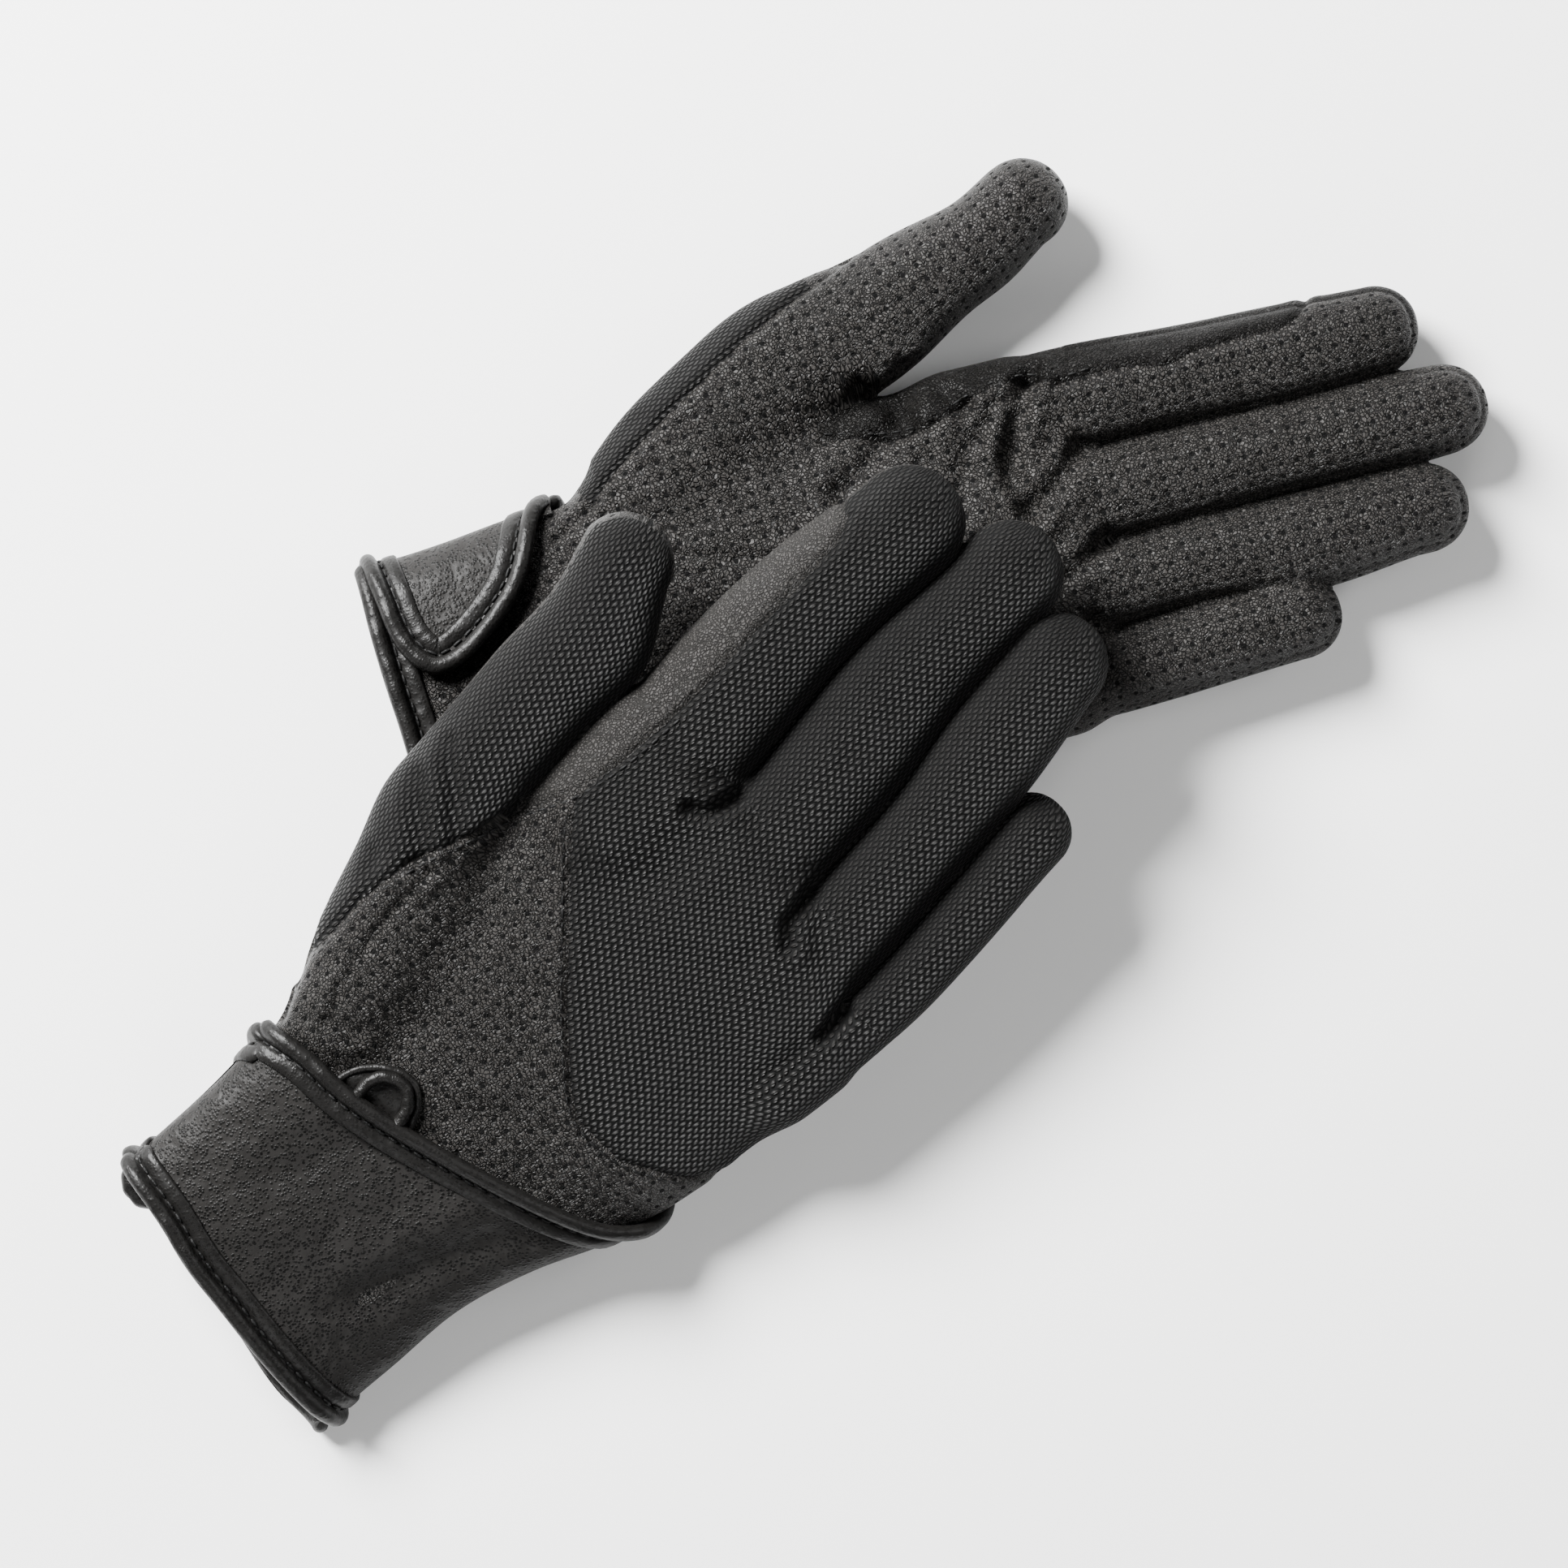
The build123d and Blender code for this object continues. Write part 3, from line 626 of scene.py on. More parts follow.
class Finish:
    """A material being built from shared groups."""

    def __init__(self, name, slot):
        self.material = bpy.data.materials.new(name)
        self.material.use_nodes = True
        self.slot = slot
        self.tree = self.material.node_tree
        self.shader = self.tree.nodes["Principled BSDF"]
        sheet = self.tree.nodes.new("ShaderNodeUVMap")
        sheet.uv_map = "Sheet"
        self.sheet = sheet.outputs[0]
        self.wear = self.add("wear")

    def add(self, key, **numbers):
        node = self.tree.nodes.new("ShaderNodeGroup")
        node.node_tree = GROUPS[key]
        self.tree.links.new(self.sheet, node.inputs["Vector"])
        for label, number in numbers.items():
            node.inputs[label.replace("_", " ")].default_value = number
        return node

    def mix(self, factor, a, b):
        node = self.tree.nodes.new("ShaderNodeMix")
        node.data_type = "RGBA"
        connect(self.tree, node.inputs[0], factor)
        for socket, colour in ((node.inputs[6], a), (node.inputs[7], b)):
            connect(self.tree, socket, colour if isinstance(colour, bpy.types.NodeSocket) else (*colour, 1.0))
        return node.outputs[2]

    def bump(self, height, distance, strength=1.0, under=None):
        node = self.tree.nodes.new("ShaderNodeBump")
        node.inputs["Strength"].default_value = strength
        node.inputs["Distance"].default_value = distance
        self.tree.links.new(height, node.inputs["Height"])
        if under is not None:
            self.tree.links.new(under, node.inputs["Normal"])
        return node.outputs[0]

    def finish(self, colour, roughness, normal, specular, sheen=0.0):
        self.tree.links.new(colour, self.shader.inputs["Base Color"])
        connect(self.tree, self.shader.inputs["Roughness"], roughness)
        self.tree.links.new(normal, self.shader.inputs["Normal"])
        self.shader.inputs["Specular IOR Level"].default_value = specular
        if sheen:
            self.shader.inputs["Sheen Weight"].default_value = sheen
            self.shader.inputs["Sheen Roughness"].default_value = 0.5
        return self


def leather(name, slot, deep, light, punched, roughness, specular=0.14):
    """Grained leather, plain or punched."""
    made = Finish(name, slot)
    grain = made.add("grain")
    tone = made.mix(made.wear.outputs["Tone"], tuple(c * 0.85 for c in light), light)
    # grain pattern painted into the colour: the creases take the deep colour as painted shade, the ridges the
    # lighter tone as painted highlight
    colour = made.mix(grain.outputs["Ridge"], deep, tone)
    normal = made.bump(made.wear.outputs["Soft height"], 0.0012)
    normal = made.bump(grain.outputs["Height"], 0.00032, 0.9, normal)
    if punched:
        holes = made.add("holes")
        colour = made.mix(holes.outputs["Hole"], colour, (0.0008, 0.0008, 0.0008))
        normal = made.bump(holes.outputs["Dish"], 0.00022, 0.8, normal)
        roughness = ramp(made.tree, holes.outputs["Hole"], 0.0, 1.0, roughness, 1.0)
    return made.finish(colour, roughness, normal, specular)


def air_mesh(name, slot, deep, light):
    made = Finish(name, slot)
    weave = made.add("weave")
    tone = made.mix(made.wear.outputs["Tone"], tuple(c * 0.8 for c in light), light)
    colour = made.mix(weave.outputs["Yarn"], deep, tone)
    normal = made.bump(made.wear.outputs["Soft height"], 0.001)
    normal = made.bump(weave.outputs["Height"], 0.00055, 1.0, normal)
    roughness = ramp(made.tree, weave.outputs["Yarn"], 0.0, 1.0, 0.85, 0.4)
    return made.finish(colour, roughness, normal, 0.12)


def smooth_leather(name, slot, deep, light, roughness, relief, specular):
    made = Finish(name, slot)
    pores = made.add("pores")
    tone = made.mix(made.wear.outputs["Tone"], tuple(c * 0.8 for c in light), light)
    colour = made.mix(pores.outputs["Pore"], tone, deep)
    normal = made.bump(made.wear.outputs["Soft height"], 0.001)
    normal = made.bump(pores.outputs["Height"], relief, 0.8, normal)
    return made.finish(colour, roughness, normal, specular)


FINISHES = {
    "mesh": air_mesh("black_air_mesh", "mesh", (0.0008, 0.0008, 0.0008), (0.0135, 0.013, 0.0125)),
    # in the grained leathers the first colour fills the grain's creases as painted shade, against the lighter
    # second colour on the ridges as painted highlight
    "perforated": leather(
        "punched_grain_leather", "perforated_leather", (0.0012, 0.0011, 0.001), (0.027, 0.0252, 0.0236),
        True, 0.44
    ),
    "plain": leather(
        "grey_side_leather", "plain_leather", (0.007, 0.0066, 0.0062), (0.027, 0.0254, 0.0238), False, 0.58
    ),
    "keystone": leather(
        "soft_plain_leather", "plain_leather", (0.0015, 0.0014, 0.0013), (0.008, 0.0075, 0.007), False,
        0.42, 0.1
    ),
    "cuff": smooth_leather(
        "cuff_leather", "cuff_leather", (0.001, 0.001, 0.0009), (0.0125, 0.0118, 0.0112), 0.46, 0.00014, 0.1
    ),
    "binding": smooth_leather(
        "rolled_binding_leather", "binding", (0.003, 0.0028, 0.0026), (0.006, 0.0057, 0.0054), 0.42,
        0.00005, 0.16
    ),
    "thread": smooth_leather(
        "black_thread", "binding", (0.0015, 0.0015, 0.0015), (0.005, 0.005, 0.005), 0.6, 0.0001, 0.15
    ),
    "lining": air_mesh("soft_lining", "mesh", (0.004, 0.004, 0.004), (0.02, 0.02, 0.02)),
    "pile": air_mesh("fastening_tape", "loop_pile", (0.003, 0.003, 0.003), (0.016, 0.016, 0.016)),
}


def dress(shown, finish, body=None, replaces=()):
    """Give a piece its finish and its place among the moving bodies."""
    made = FINISHES[finish]
    shown.data.materials.append(made.material)
    if replaces:
        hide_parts(*replaces)
    if body:
        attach(shown, body)
    return shown


# ---- skins of the hand and fingers ----
def outline_beyond(line, corners):
    """Closed outline made of a seam and far corners."""
    return list(line) + list(corners)


def seam_fields(glove):
    """Plan fields that part the hand's panels: positive inside yoke-free, strip and gusset areas."""
    back_area = outline_beyond(YOKE_SEAM, [(300, -90), (300, 29.6)])
    strip_back = outline_beyond(STRIP_SEAM_BACK, [(205, 90), (90, 90)])
    strip_palm = outline_beyond(STRIP_SEAM_PALM, [(205, 90), (96, 90)])
    gusset = outline_beyond(GUSSET_SEAM, [(36, 120), (300, 120), (300, 40), (120, 36)])
    gusset_palm = outline_beyond(GUSSET_SEAM_PALM, [(150, 140), (20, 140)])
    return {
        "back": lambda p: side_of(p[:, :2], back_area),
        "strip_back": lambda p: side_of(p[:, :2], strip_back),
        "strip_palm": lambda p: side_of(p[:, :2], strip_palm),
        "gusset": lambda p: side_of(p[:, :2], gusset),
        "gusset_palm": lambda p: side_of(p[:, :2], gusset_palm),
    }


WRINKLES = {
    # line in plan, face (1 back, -1 palm), depth, half width
    "left": [
        ([(118, 44), (112, 34), (104, 27), (97, 24)], -1, 1.9, 2.6),
        ([(143, 38), (137, 28), (133, 18), (136, 8)], -1, 2.2, 2.0),
        ([(149, 19), (141, 12), (134, 9)], -1, 1.6, 2.0),
        ([(150, -1), (141, -6), (133, -8)], -1, 1.5, 2.0),
        ([(142, -17), (134, -20), (128, -20)], -1, 1.3, 1.8),
        ([(128, 33), (124, 22), (121, 12)], -1, 1.1, 2.2),
        ([(98, 22), (104, 12), (106, 2)], -1, 0.9, 2.4),
        ([(107, 44), (113, 38), (115, 33)], -1, 1.4, 1.8),
        ([(127, 34), (123, 40), (121, 45)], -1, 1.4, 1.8),
        ([(128, 26), (134, 33), (143, 36)], -1, 1.2, 1.6),
        ([(59.8, 20.5), (70, 17), (80.7, 13.7)], -1, 0.6, 1.0),
        ([(165, 8), (167, -1)], -1, 0.5, 1.8),
        ([(185, 24), (188, 14)], -1, 0.4, 2.0),
        ([(60, 50), (70, 42), (78, 36)], -1, 0.5, 3.0),
    ],
    "right": [
        ([(145.5, 6), (139, 8.5), (137, 12)], 1, 1.6, 1.6),
        ([(142.9, -19.4), (136, -20), (132, -24)], 1, 1.4, 1.6),
        ([(130.9, -43.1), (124, -44)], 1, 1.3, 1.6),
        ([(100, 55), (92, 46), (88, 41)], 1, 1.0, 2.0),
        ([(110, 56), (103, 47), (98, 41)], 1, 0.9, 1.8),
        ([(82, 50), (78, 46)], 1, 0.7, 2.0),
        ([(107.6, 35.7), (96.4, 38.2), (87.4, 38.7), (79.2, 38.4), (63.4, 35.7), (50, 30)], 1, 0.6, 1.0),
        ([(62, 22), (68, 12), (70, 0)], 1, 0.35, 3.5),
        ([(55, -2), (66, -14), (72, -28)], 1, 0.35, 3.0),
        ([(115, -10), (128, -8), (138, -6)], 1, 0.35, 4.0),
        ([(112, -32), (124, -30), (134, -30)], 1, 0.35, 4.0),
        ([(168, 6), (172, -4)], 1, 0.3, 3.0),
        ([(46, 38), (50, 30), (54, 24)], 1, 0.6, 2.0),
    ],
}


def cloth_coordinates(glove, points, labels):
    """Where each point of a skin lay in the flat hide, in mm."""
    sheet = points[:, :2].copy()
    along, across, above = glove.finger_local(points, "thumb")
    hand_middle = np.interp(points[:, 0], glove.hand_table[0], glove.hand_table[1][:, 0])
    drop = 9.0 - np.abs(points[:, 2])
    sheet[:, 1] += np.sign(points[:, 1] - hand_middle) * drop * fade(
        np.abs(points[:, 1] - hand_middle), 5, 25
    ) * 0.8
    for finger in FINGERS:
        s, t, z = glove.finger_local(points, finger)
        mine = labels == finger
        lifted = 8.6 - np.abs(z)
        edge = np.sign(t) * lifted * fade(np.abs(t), 1.0, 7.0) * 0.9
        sheet[mine, 1] = (points[:, 1] + edge)[mine]
    thumb = labels == "thumb"
    side = np.sign(across) * (9.5 - np.abs(above)) * fade(np.abs(across), 1, 8) * 0.9
    sheet[thumb] = np.column_stack([along + 300, across + side])[thumb]
    return sheet


def owner_labels(glove, points):
    """Which finger, thumb or hand each point belongs to."""
    found = glove.owners(points)
    names = np.array(FINGERS)
    nearest = names[np.argmin(np.stack([found[f] for f in FINGERS]), 0)]
    labels = np.full(len(points), "hand ", dtype="<U6")
    for finger in FINGERS:
        along = glove.finger_local(points, finger)[0]
        labels[(nearest == finger) & (along > 0)] = finger
    fingers = np.min(np.stack([found[f] for f in FINGERS]), 0)
    trunk = np.minimum(fingers, found["hand"])
    thumb = found["thumb"] < trunk
    labels[thumb & (labels != "hand ")] = "thumb"
    labels[thumb & (labels == "hand ")] = "thumb"
    return np.char.strip(labels)


def make_skin(glove):
    """The glove's panels, drawn as one form and parted at their seams."""
    low = np.array([glove.shape["hem_start"] - 6, -66.0, -18.0])
    high = np.array([242.0, 96.0, 16.0])
    count = np.ceil((high - low) / CELL).astype(int)
    grid = np.stack(np.meshgrid(*[low[i] + CELL * np.arange(count[i]) for i in range(3)], indexing="ij"), -1)
    values = np.concatenate([glove.form(slab.reshape(-1, 3)) for slab in np.array_split(grid, 8)])
    verts, quads = surface_net(values.reshape(count), low)
    for _ in range(3):
        normal, steep = glove.slope(verts)
        verts = verts - normal * np.clip(glove.form(verts) / np.maximum(steep, 0.3), -0.6, 0.6)[:, None]
    tris = np.concatenate([quads[:, [0, 1, 2]], quads[:, [0, 2, 3]]])

    hem, slope = {"left": (-5.0, -0.03), "right": (-8.0, 0.17)}[glove.name]
    fields = seam_fields(glove)
    cuts = [lambda p: p[:, 0] - hem - slope * p[:, 1], lambda p: p[:, 2] + 0.013]
    cuts += list(fields.values())
    for finger in FINGERS + ("thumb",):
        cuts.append(lambda p, f=finger: glove.finger_local(p, f)[0])
    for a, b in zip(FINGERS[:-1], FINGERS[1:]):
        cuts.append(lambda p, a=a, b=b: glove.owners(p)[a] - glove.owners(p)[b])
    cuts.append(lambda p: glove.owners(p)["thumb"] - np.min(
        np.stack([glove.owners(p)[k] for k in FINGERS + ("hand",)]), 0
    ))
    for field in cuts:
        verts, tris = cut(verts, tris, field)
    for finger in FINGERS:
        for level in (BACK_LEVEL * glove.back, PALM_LEVEL * glove.back):
            verts, tris = cut(
                verts, tris, lambda p, f=finger,
                h=level: np.where(glove.finger_local(p, f)[0] > -0.5, glove.finger_local(p, f)[2] - h, 5.0)
            )
    tris = tris[(cuts[0](verts)[tris] > -0.05).all(1)]

    middle = verts[tris].mean(1)
    owner = owner_labels(glove, middle)
    flat = {k: f(middle) for k, f in fields.items()}
    dorsal = middle[:, 2] * glove.back > 0
    piece = np.full(len(tris), "palm_panel", dtype="<U24")
    piece[dorsal] = "yoke"
    piece[dorsal & (flat["back"] > 0)] = "back_panel"
    piece[dorsal & (flat["strip_back"] > 0)] = "side_strip"
    piece[~dorsal & (flat["strip_palm"] > 0)] = "side_strip"
    thumb = owner == "thumb"
    base = np.where(dorsal, flat["gusset"] > 0, flat["gusset_palm"] > 0)
    trunk = (owner == "hand") | thumb
    piece[trunk & base & (thumb | dorsal) & ~((piece == "side_strip") & ~thumb)] = "thumb_gusset"
    s_thumb = glove.finger_local(middle, "thumb")[0]
    beyond = thumb & (s_thumb > 0)
    piece[thumb & ~beyond & ~dorsal & ~base] = "palm_panel"
    piece[beyond & dorsal] = "thumb_back"
    piece[beyond & ~dorsal] = "thumb_palm"
    for finger in FINGERS:
        mine = owner == finger
        z = glove.finger_local(middle, finger)[2] * glove.back
        t = glove.finger_local(middle, finger)[1]
        piece[mine & (z > BACK_LEVEL)] = f"{finger}_back"
        piece[mine & (z < PALM_LEVEL)] = f"{finger}_palm"
        sides = mine & (z <= BACK_LEVEL) & (z >= PALM_LEVEL)
        if finger == "index":
            piece[sides & (t > 0)] = "index_side_strip"
            piece[sides & (t <= 0)] = "index_fourchette"
            strip = np.where(dorsal, flat["strip_back"], flat["strip_palm"]) > 0
            piece[mine & strip & (t > 0)] = "index_side_strip"
        else:
            piece[sides] = f"{finger}_fourchettes"

    # seams pull the skin in, and the cloth swells beside them
    normal, _ = glove.slope(verts)
    groove = np.zeros(len(verts))
    dorsal_v = verts[:, 2] * glove.back > 0
    owner_v = owner_labels(glove, verts)
    plain_hand = np.isin(owner_v, ["hand", "index"])

    def seam(distance, where, depth=SEAM_DEPTH, half=0.75):
        pull = -depth * np.exp(-((distance / half) ** 2)) + 0.3 * depth * np.exp(
            -(((np.abs(distance) - 2.2) / 1.2) ** 2)
        )
        groove[where] += pull[where]

    on_back = dorsal_v & (owner_v != "thumb")
    seam(polyline_distance(verts[:, :2], YOKE_SEAM), on_back & (verts[:, 1] < 31))
    seam(polyline_distance(verts[:, :2], STRIP_SEAM_BACK), on_back & plain_hand)
    seam(polyline_distance(verts[:, :2], STRIP_SEAM_PALM), ~dorsal_v & (owner_v != "thumb"), 0.6)
    seam(polyline_distance(verts[:, :2], GUSSET_SEAM), dorsal_v, 0.8)
    seam(polyline_distance(verts[:, :2], GUSSET_SEAM_PALM), ~dorsal_v, 0.8)
    for finger in FINGERS:
        s, t, z = glove.finger_local(verts, finger)
        for level in (BACK_LEVEL * glove.back, PALM_LEVEL * glove.back):
            seam(z - level, (owner_v == finger) & (s > 2), 0.35, 0.6)
    level_ground = fade(np.abs(normal[:, 2]), 0.4, 0.8)
    for line, face, depth, half in WRINKLES[glove.name]:
        away = polyline_distance(verts[:, :2], line)
        where = (verts[:, 2] * face * glove.back > 0) if glove.back > 0 else (verts[:, 2] * -face > 0)
        fold = -depth * np.exp(-((away / half) ** 2)) + 0.35 * depth * np.exp(
            -(((away - 2.1 * half) / (0.9 * half)) ** 2)
        )
        groove += np.where(where, fold, 0) * level_ground
    soft = 0.16 * np.sin(
        verts[:, 0] / 7.3 + 1.7 * np.sin(verts[:, 1] / 11.0)
    ) * np.sin(verts[:, 1] / 6.1 + 0.8)
    verts_out = verts + normal * (groove + soft)[:, None]

    # one set of soft normals for all panels, so that no seam shows where there is none
    flat_normals = np.zeros_like(verts_out)
    corner = verts_out[tris]
    face = np.cross(corner[:, 1] - corner[:, 0], corner[:, 2] - corner[:, 0])
    for i in range(3):
        np.add.at(flat_normals, tris[:, i], face)
    flat_normals /= np.maximum(np.linalg.norm(flat_normals, axis=1), 1e-9)[:, None]
    world, normals = glove.place(verts_out), flat_normals @ glove.axes

    finish_of = {
        "yoke": "perforated", "back_panel": "mesh", "side_strip": "plain", "palm_panel": "perforated",
        "thumb_gusset": "mesh", "thumb_back": "mesh", "thumb_palm": "perforated", "index_side_strip": "plain",
    }
    if glove.name == "left":
        finish_of["side_strip"] = finish_of["index_side_strip"] = "keystone"
    for name in np.unique(piece):
        chosen = tris[piece == name]
        used, inverse = np.unique(chosen, return_inverse=True)
        faces = inverse.reshape(-1, 3)
        part = name.split("_")[0]
        if part not in FINGERS + ("thumb",):
            part = "hand"
        sheet = cloth_coordinates(glove, verts[used], np.full(len(used), part))
        shown = mesh_object(f"{glove.name}_{name}_skin", world[used], faces, normals[used], sheet)
        default = "mesh" if name.endswith("_back") else "perforated"
        dress(shown, finish_of.get(name, default), None, [f"{glove.name}_{name}"])
        if part in FINGERS + ("thumb",) and name != "thumb_gusset":
            u, v = glove.roots[part]
            turn = glove.headings[part]
            start = glove.place([(u, v, 0)])[0]
            end = glove.place([(u + 15 * cos(turn), v + 15 * sin(turn), 0)])[0]
            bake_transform(shown)
        else:
            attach(shown, f"{glove.name}_glove")
    return verts


# ---- cuffs: sheets and rolled edges wrapped round the wrist ----
TURN = np.linspace(-pi, pi, 721)


def section_point(angle):
    """Point of a unit squared-round section, 0 at the back's middle and turning to the thumb."""
    c, s = np.sin(angle), np.cos(angle)
    size = (np.abs(c) ** SQUARE + np.abs(s) ** SQUARE) ** (-1 / SQUARE)
    return c * size, s * size


class Wrap:
    """The wrist's surface, laid out flat: u along the glove, w round it from the back's middle."""

    def __init__(self, glove):
        self.glove = glove
        y, z = section_point(TURN)
        step = np.hypot(np.diff(y) * 36.0, np.diff(z) * 9.6)
        self.w = np.concatenate([[0], np.cumsum(step)])
        self.w -= self.w[len(TURN) // 2]

    def at(self, u, w, lift):
        """Points of the glove's frame at u, w and lift above the skin."""
        angle = np.interp(w, self.w, TURN)
        table, rows = self.glove.hand_table
        offset, half, tall = (np.interp(u, table, rows[:, i]) for i in range(3))
        y, z = section_point(angle)
        ny = np.sign(y) * np.abs(y) ** (SQUARE - 1) / half
        nz = np.sign(z) * np.abs(z) ** (SQUARE - 1) / tall
        size = np.maximum(np.hypot(ny, nz), 1e-9)
        v = offset + half * y + lift * ny / size
        return np.stack([np.broadcast_to(u, v.shape), v, self.glove.back * (tall * z + lift * nz / size)], -1)

    def around(self, v, u, face):
        """w of a point in plan, on the back (1) or the palm (-1)."""
        table, rows = self.glove.hand_table
        share = np.clip(
            (v - np.interp(u, table, rows[:, 0])) / np.interp(u, table, rows[:, 1]), -0.999, 0.999
        )
        y, z = section_point(TURN)
        half = np.abs(TURN) <= pi / 2
        w = np.interp(share, y[half], self.w[half])
        full = self.w[-1]
        return w if face > 0 else np.where(w >= 0, full - w, -full - w)


def grid_faces(rows, columns, closed=False):
    i, j = np.meshgrid(np.arange(rows - 1), np.arange(columns if closed else columns - 1), indexing="ij")
    i, j = i.ravel(), j.ravel()
    k = (j + 1) % columns
    return np.stack([i * columns + j, i * columns + k, (i + 1) * columns + k, (i + 1) * columns + j], 1)


def resample(line, count):
    """Evenly spaced points on a smooth line through the given ones."""
    line = np.array(line, float)
    for _ in range(2):
        inner = np.stack(
            [0.75 * line[:-1] + 0.25 * line[1:], 0.25 * line[:-1] + 0.75 * line[1:]], 1
        ).reshape(-1, line.shape[1])
        line = np.concatenate([line[:1], inner, line[-1:]])
    run = np.concatenate([[0], np.cumsum(np.linalg.norm(np.diff(line, axis=0), axis=1))])
    at = np.linspace(0, run[-1], count)
    return np.stack([np.interp(at, run, line[:, i]) for i in range(line.shape[1])], 1)


# across a binding, from the flat strip's edge to the roll's far side: reach, height
ROLL = 1.8
BINDING_STEP = 0.9  # between neighbouring rings of points along a binding
BINDING_PROFILE = [
    (-7.8, -0.3), (-7.8, 0.4), (-7.4, 0.75), (-6.4, 0.85), (-5.2, 0.78), (-4.6, 0.45), (-4.2, 0.1),
    (-3.8, 0.15)
] + [
    (-1.8 + ROLL * cos(radians(a)), 0.75 + ROLL * sin(radians(a))) for a in range(170, -106, -18)
]


def make_binding(wrap, name, line, profile, lift, replaces, body, finish="binding", side=1):
    """Rolled edge along a line of the laid-out wrist, its roll on the line's left (1) or right (-1)."""
    count = max(24, int(np.linalg.norm(np.diff(np.array(line), axis=0), axis=1).sum() / BINDING_STEP))
    path = resample(line, count)
    along = np.gradient(path, axis=0)
    along /= np.linalg.norm(along, axis=1)[:, None]
    across = side * np.stack([-along[:, 1], along[:, 0]], 1)
    profile = np.array(profile)
    # both ends close under the roll
    from_end = BINDING_STEP * np.minimum(np.arange(count), np.arange(count)[::-1])[:, None]
    full = np.sqrt(np.clip(from_end / 2.5, 0.002, 1))
    reach = -3.0 + (profile[None, :, 0] + 3.0) * full
    place = path[:, None, :] + across[:, None, :] * reach[..., None]
    height = (lift(place[..., 1]) if callable(lift) else lift) + (profile[None, :, 1] + 0.3) * full - 0.3
    run = np.arange(count) * BINDING_STEP
    wave = 0.1 * np.sin(run / 9.0)[:, None] + 0.06 * np.sin(run / 3.7)[:, None]
    dimple = -0.16 * np.cos(2 * pi * run / 3.1)[:, None] * np.exp(-(((profile[None, :, 0] + 4.2) / 0.7) ** 2))
    points = wrap.at(place[..., 0], place[..., 1], height + wave + dimple)
    faces = grid_faces(count, len(profile))
    if (side * wrap.glove.back) < 0:
        faces = faces[:, ::-1]
    girth = np.cumsum(np.hypot(*np.diff(profile, axis=0, prepend=profile[:1]).T))
    sheet = np.stack(np.meshgrid(run, girth, indexing="ij"), -1)
    shown = mesh_object(name, wrap.glove.place(points.reshape(-1, 3)), faces, None, sheet.reshape(-1, 2))
    return dress(shown, finish, body, replaces)


def make_stitches(glove, name, points, body, length=2.2, pitch=3.1, radius=0.36):
    """Row of short thread stitches along points of the glove's frame."""
    run = np.concatenate([[0], np.cumsum(np.linalg.norm(np.diff(points, axis=0), axis=1))])
    starts = np.arange(0.5, run[-1] - length, pitch)
    verts, faces = [], []
    ring = np.linspace(0, 2 * pi, 6, endpoint=False)
    shares = [(0.0, 0.25), (0.12, 0.8), (0.5, 1.0), (0.88, 0.8), (1.0, 0.25)]
    for start in starts:
        a, b = ([np.interp(start + d, run, points[:, i]) for i in range(3)] for d in (0, length))
        a, b = np.array(a), np.array(b)
        way = (b - a) / np.linalg.norm(b - a)
        up = np.array([0, 0, 1.0]) - way * way[2]
        up /= np.linalg.norm(up)
        aside = np.cross(way, up)
        base = len(verts)
        for share, size in shares:
            middle = a + (b - a) * share
            for angle in ring:
                verts.append(middle + (aside * cos(angle) + up * sin(angle)) * radius * size)
        for k in range(len(shares) - 1):
            for m in range(6):
                n = (m + 1) % 6
                faces.append(
                    (base + k * 6 + m, base + k * 6 + n, base + (k + 1) * 6 + n, base + (k + 1) * 6 + m)
                )
    verts = np.array(verts)
    shown = mesh_object(name, glove.place(verts), np.array(faces), None, verts[:, :2])
    return dress(shown, "thread", body)


def make_tube(glove, name, points, radius, finish, body, replaces=()):
    """Rolled leather cord through points of the glove's frame."""
    path = resample(points, 48)
    way = np.gradient(path, axis=0)
    way /= np.linalg.norm(way, axis=1)[:, None]
    up = np.cross(way, np.cross(np.array([0, 0, 1.0]), way))
    up /= np.linalg.norm(up, axis=1)[:, None]
    aside = np.cross(way, up)
    turn = np.linspace(0, 2 * pi, 14, endpoint=False)
    twist = 1 + 0.06 * np.sin(np.arange(48)[:, None] * 0.9 + turn[None, :] * 2)
    ring = radius * twist[..., None] * (
        np.cos(turn)[None, :, None] * aside[:, None] + np.sin(turn)[None, :, None] * up[:, None]
    )
    verts = (path[:, None] + ring).reshape(-1, 3)
    sheet = np.stack(np.meshgrid(np.arange(48) * 0.8, turn * radius, indexing="ij"), -1).reshape(-1, 2)
    shown = mesh_object(name, glove.place(verts), grid_faces(48, 14, closed=True), None, sheet)
    return dress(shown, finish, body, replaces)


def make_sheet(wrap, name, low, high, w_values, lift, finish, body, replaces, rows=60, dents=None):
    """Wrapped sheet between two edges given as u over w."""
    share = np.linspace(0, 1, rows)[:, None]
    u = low[None, :] * (1 - share) + high[None, :] * share
    w = np.broadcast_to(w_values[None, :], u.shape)
    height = lift(w) if callable(lift) else np.full(u.shape, float(lift))
    if dents is not None:
        height = height + dents(u, w)
    points = wrap.at(u, w, height)
    faces = grid_faces(rows, len(w_values))
    if wrap.glove.back < 0:
        faces = faces[:, ::-1]
    sheet = np.stack([u, w], -1).reshape(-1, 2)
    shown = mesh_object(name, wrap.glove.place(points.reshape(-1, 3)), faces, None, sheet)
    return dress(shown, finish, body, replaces)


